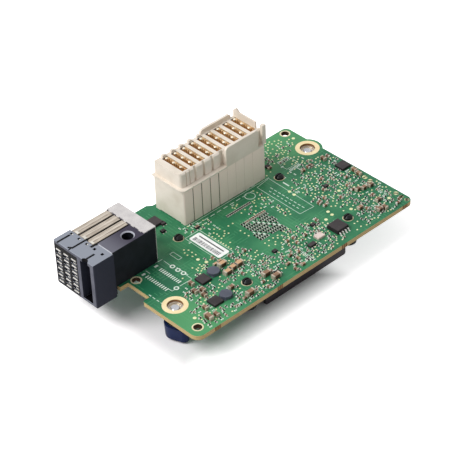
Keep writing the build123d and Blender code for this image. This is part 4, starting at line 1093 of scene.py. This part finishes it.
piece("slot_combs", "cream_plastic", COMB_SHADED_TAN,
      boxes(slot_places(COMB_SIZE[0] / 2, COMB_ROWS), COMB_SIZE, COMB_BOTTOM, COMB_TOP))
piece("ground_heads", "contact_gold", HEAD_HIGHLIGHT,
      lofts(round_outline(8), slot_places(HEAD_SHIFT, HEAD_ROWS), HEAD_RADIUS, HEAD_LEVELS))
piece("beam_tips", "contact_gold", TIP_HIGHLIGHT,
      lofts(SQUARE, slot_places(TIP_SHIFT, TIP_ROWS), TIP_SIZE, TIP_LEVELS))
piece("inner_tips", "contact_gold", INNER_GOLD,
      lofts(SQUARE, slot_places(INNER_TIP_SHIFT, TIP_ROWS), INNER_TIP_SIZE, INNER_TIP_LEVELS))

# Small black chips with a bevelled top, by their places on the board, and their three feet
SMALL_CHIPS = np.array([(97.1, 30.4), (89.4, 38.5), (78.4, 49.1), (38.1, 41.5), (31.5, 51.2),
                        (28.7, 48.2), (84.5, 26.5), (66.0, 14.5), (47.2, 13.6), (40.2, 5.2)])
CHIP_SIZE = (1.7, 1.3)
CHIP_FEET = np.array([(-0.6, -0.8), (0.6, -0.8), (0, 0.8)])
FOOT_SIZE = (0.4, 0.55)
FOOT_TOP = 0.12
piece("small_chips", "chip_black", FINISHES["chip_black"],
      lofts(SQUARE, SMALL_CHIPS, CHIP_SIZE, CHIP_LEVELS))
piece("small_chip_feet", "contact_tin", END_TIN,
      boxes((SMALL_CHIPS[:, None] + CHIP_FEET).reshape(-1, 2), FOOT_SIZE, FLUSH, FOOT_TOP))

# Bright tin as painted glints in the hood's windows, bright metal where the shield strips pass
# under it, painted shade along the grooves on its top, and a painted highlight along its rear edge
WINDOW_POINTS = [(72.5, 234.3), (80, 239.3), (87.7, 244.3)]
GLINT_SIZE = (0.5, 0.4)
GROOVE_RUNS = [
    ((-10.1, 54.3), (-5.6, 54.3)), ((-8.9, 48.5), (-3.0, 48.5)), ((-9.7, 49.5), (-9.2, 48.8)),
    ((-4.3, 44.4), (-2.5, 44.4)), ((-9.2, 40.9), (-6.6, 40.9)),
]
GROOVE_WIDTH = 0.8
HOOD_HIGHLIGHT_RUN = [((-2.0, 43.6), (-2.0, 37.4))]
HOOD_HIGHLIGHT_WIDTH = 0.4
TAB_START = (-2.5, STRIP_START + 0.95)
TAB_SIZE = (0.9, 1.5)
hood_top = board_box("fabric_hood")[1][2]
strip_top = board_box("fabric_shield_1")[1][2]
# painted glints in the hood's windows
piece("window_glints", "shield_metal", END_TIN,
      boxes(cast(WINDOW_POINTS, hood_top), GLINT_SIZE, hood_top - 0.3, hood_top + 0.01))
# painted shade along the hood's grooves
piece("hood_groove_shade", "hood_plastic", GROOVE_SHADE,
      strips(GROOVE_RUNS, GROOVE_WIDTH, hood_top - 0.2, hood_top + 0.01))
# painted highlight along the hood's rear edge
piece("hood_edge_highlight", "hood_plastic", EDGE_HIGHLIGHT,
      strips(HOOD_HIGHLIGHT_RUN, HOOD_HIGHLIGHT_WIDTH, hood_top - 0.2, hood_top + 0.015))

# Blades in the hood's cells, wide and short by turns from the lowest level up. Each kind has the
# X of its middle, its shift along Y, its size along X and Y, and half its height
CELL_COLUMNS = STRIP_START + 1.465 + np.arange(STRIP_COUNT) * STRIP_PITCH
CELL_LEVELS = -1.55 + np.arange(11) * 1.3
WIDE_BLADE = (-10.22, 0.0, (0.5, 2.2), 0.2)
SHORT_BLADE = (-10.1, -0.5, (0.4, 1.5), 0.15)


def blades():
    """One box at each column and level, its size and shift from the level's kind of blade."""
    shapes = []
    for level, kind in zip(CELL_LEVELS, np.arange(len(CELL_LEVELS)) % 2):
        middle, shift, size, half = (WIDE_BLADE, SHORT_BLADE)[kind]
        places = np.stack([np.full(STRIP_COUNT, middle), CELL_COLUMNS + shift], 1)
        shapes.append(boxes(places, size, level - half, level + half))
    return shapes


piece("blade_tips", "contact_tin", END_TIN, *blades())
piece("strip_tabs", "shield_metal", END_TIN,
      boxes(row(TAB_START, (0, STRIP_PITCH), STRIP_COUNT), TAB_SIZE, strip_top - 0.2,
            strip_top + 0.02))


# The screws' springs, drawn as round coils in place of the imported ones

SPRING_WIRE = 0.3
SPRING_TURNS = 4
SPRING_STEPS = 24
SPRING_SIDES = 8


def coil(low, high):
    """A round wire carried along a helix that fills a box between two corners.

    Step s stands at the angle 2 pi s / SPRING_STEPS and rises evenly from end to end. Its ring of
    corners lies in the upright plane through the axis, half a wire's width from the helix. Quads
    join each ring to the next, and a lid closes each end."""
    wire = SPRING_WIRE / 2
    steps = SPRING_TURNS * SPRING_STEPS + 1
    angle = np.arange(steps)[:, None] * 2 * np.pi / SPRING_STEPS
    across = np.arange(SPRING_SIDES) * 2 * np.pi / SPRING_SIDES
    reach = (high[0] - low[0]) / 2 - wire + wire * np.cos(across)
    rise = np.linspace(low[2] + wire, high[2] - wire, steps)[:, None] + wire * np.sin(across)
    middle = (low + high) / 2
    points = np.stack([middle[0] + reach * np.cos(angle), middle[1] + reach * np.sin(angle),
                       rise], -1)
    here = np.arange(SPRING_SIDES)
    there = np.roll(here, -1)
    start = np.arange(steps - 1)[:, None] * SPRING_SIDES
    quads = np.stack([start + here, start + SPRING_SIDES + here, start + SPRING_SIDES + there,
                      start + there], -1)
    lids = np.stack([here, (steps - 1) * SPRING_SIDES + here[::-1]])
    return points.reshape(-1, 3), [quads.reshape(-1, 4), lids]


for side in ("near", "far"):
    low, high = board_box(side + "_screw_spring")
    spring = piece(side + "_coil", "spring_steel", FINISHES["spring_steel"], coil(low, high))
    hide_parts(side + "_screw_spring")
    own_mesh(spring)


# Floor, light and camera

FLOOR_REACH = 4.0
FLOOR_DROP = 0.0002
# faintly pink, so that the shadow under the card, lit by green light bounced from the board, reads
# less green
FLOOR_TONE = (0.93, 0.895, 0.915)
FLOOR_LIFT = 0.66
SHADOW_LOW = (-8.0, -1.0)
SHADOW_HIGH = (66.0, BOARD_WIDTH)
SHADOW_INSIDE = 9.0
SHADOW_OUTSIDE = 3.0
FILL_STRENGTH = 0.52
FILL_DIM_SHARE = 0.7
KEY_PLACE = (-0.84, 0.33, 1.1)
KEY_POWER = 16.2
KEY_SIZE = 0.7


def floor():
    """A wide flat sheet just under the card, lifted to white for the camera, except under the card.

    The lift rises with the distance of a point from the shaded rectangle: the greater of how far
    it lies beyond the rectangle along X and along Y."""
    corners = np.insert(SQUARE * 2 * FLOOR_REACH, 2, -FLOOR_DROP, axis=1)
    mesh = bpy.data.meshes.new("floor")
    mesh.from_pydata(corners.tolist(), [], [(0, 1, 2, 3)])
    sheet = shown("floor", mesh)
    skin = Finish("floor_white", Roughness=0.6, Base_Color=FLOOR_TONE, Emission_Strength=1.0)
    beyond = [(abs(axis - (low + high) / 2) - (high - low) / 2)
              for axis, low, high in zip(skin.board_axes(), SHADOW_LOW, SHADOW_HIGH)]
    lift = beyond[0].most(beyond[1]).ramp(-SHADOW_INSIDE, SHADOW_OUTSIDE)
    glow = skin.mix(skin.white_rays() * lift, (0, 0, 0), (FLOOR_LIFT,) * 3)
    skin.give("Emission Color", glow)
    mesh.materials.append(skin.material)


def world_light():
    """A soft grey sky for the fill, dimmer towards the front of the board and seen as white."""
    world = bpy.data.worlds.new("sky")
    bpy.context.scene.world = world
    sky = Tree(world)
    seen = sky.white_rays()
    back = sky.split(sky.node("TexCoord", output="Generated"))[1]
    share = back.ramp(-0.9, 0.3) * (1 - FILL_DIM_SHARE) + FILL_DIM_SHARE
    shader = sky.nodes["Background"]
    sky.plug(shader.inputs["Strength"], seen + (1 - seen) * (share * FILL_STRENGTH))
    sky.plug(shader.inputs["Color"], (1, 1, 1))


def lamp(name, place, aim, power, size):
    """A square soft lamp at a place, pointing at another, both in metres."""
    data = bpy.data.lights.new(name, "AREA")
    data.energy = power
    data.size = size
    made = shown(name, data)
    made.location = place
    made.rotation_mode = "QUATERNION"
    made.rotation_quaternion = (Vector(aim) - Vector(place)).to_track_quat("-Z", "Y")


def camera():
    """The photograph's camera: no shift, no depth of field."""
    data = bpy.data.cameras.new("camera")
    data.sensor_width = SENSOR
    data.lens = FOCAL_POINTS * SENSOR / PICTURE_SIDE
    data.clip_start = 0.01
    data.clip_end = 20.0
    made = shown("camera", data)
    axes = np.stack([CAMERA_RIGHT, -CAMERA_DOWN, -CAMERA_AHEAD], axis=1)
    made.matrix_world = Matrix.Translation(CAMERA_PLACE * MM) @ Matrix(axes.tolist()).to_4x4()
    bpy.context.scene.camera = made


floor()
world_light()
lamp("key", KEY_PLACE, (0, 0, 0), KEY_POWER, KEY_SIZE)
camera()
bpy.context.scene.view_settings.view_transform = "Standard"
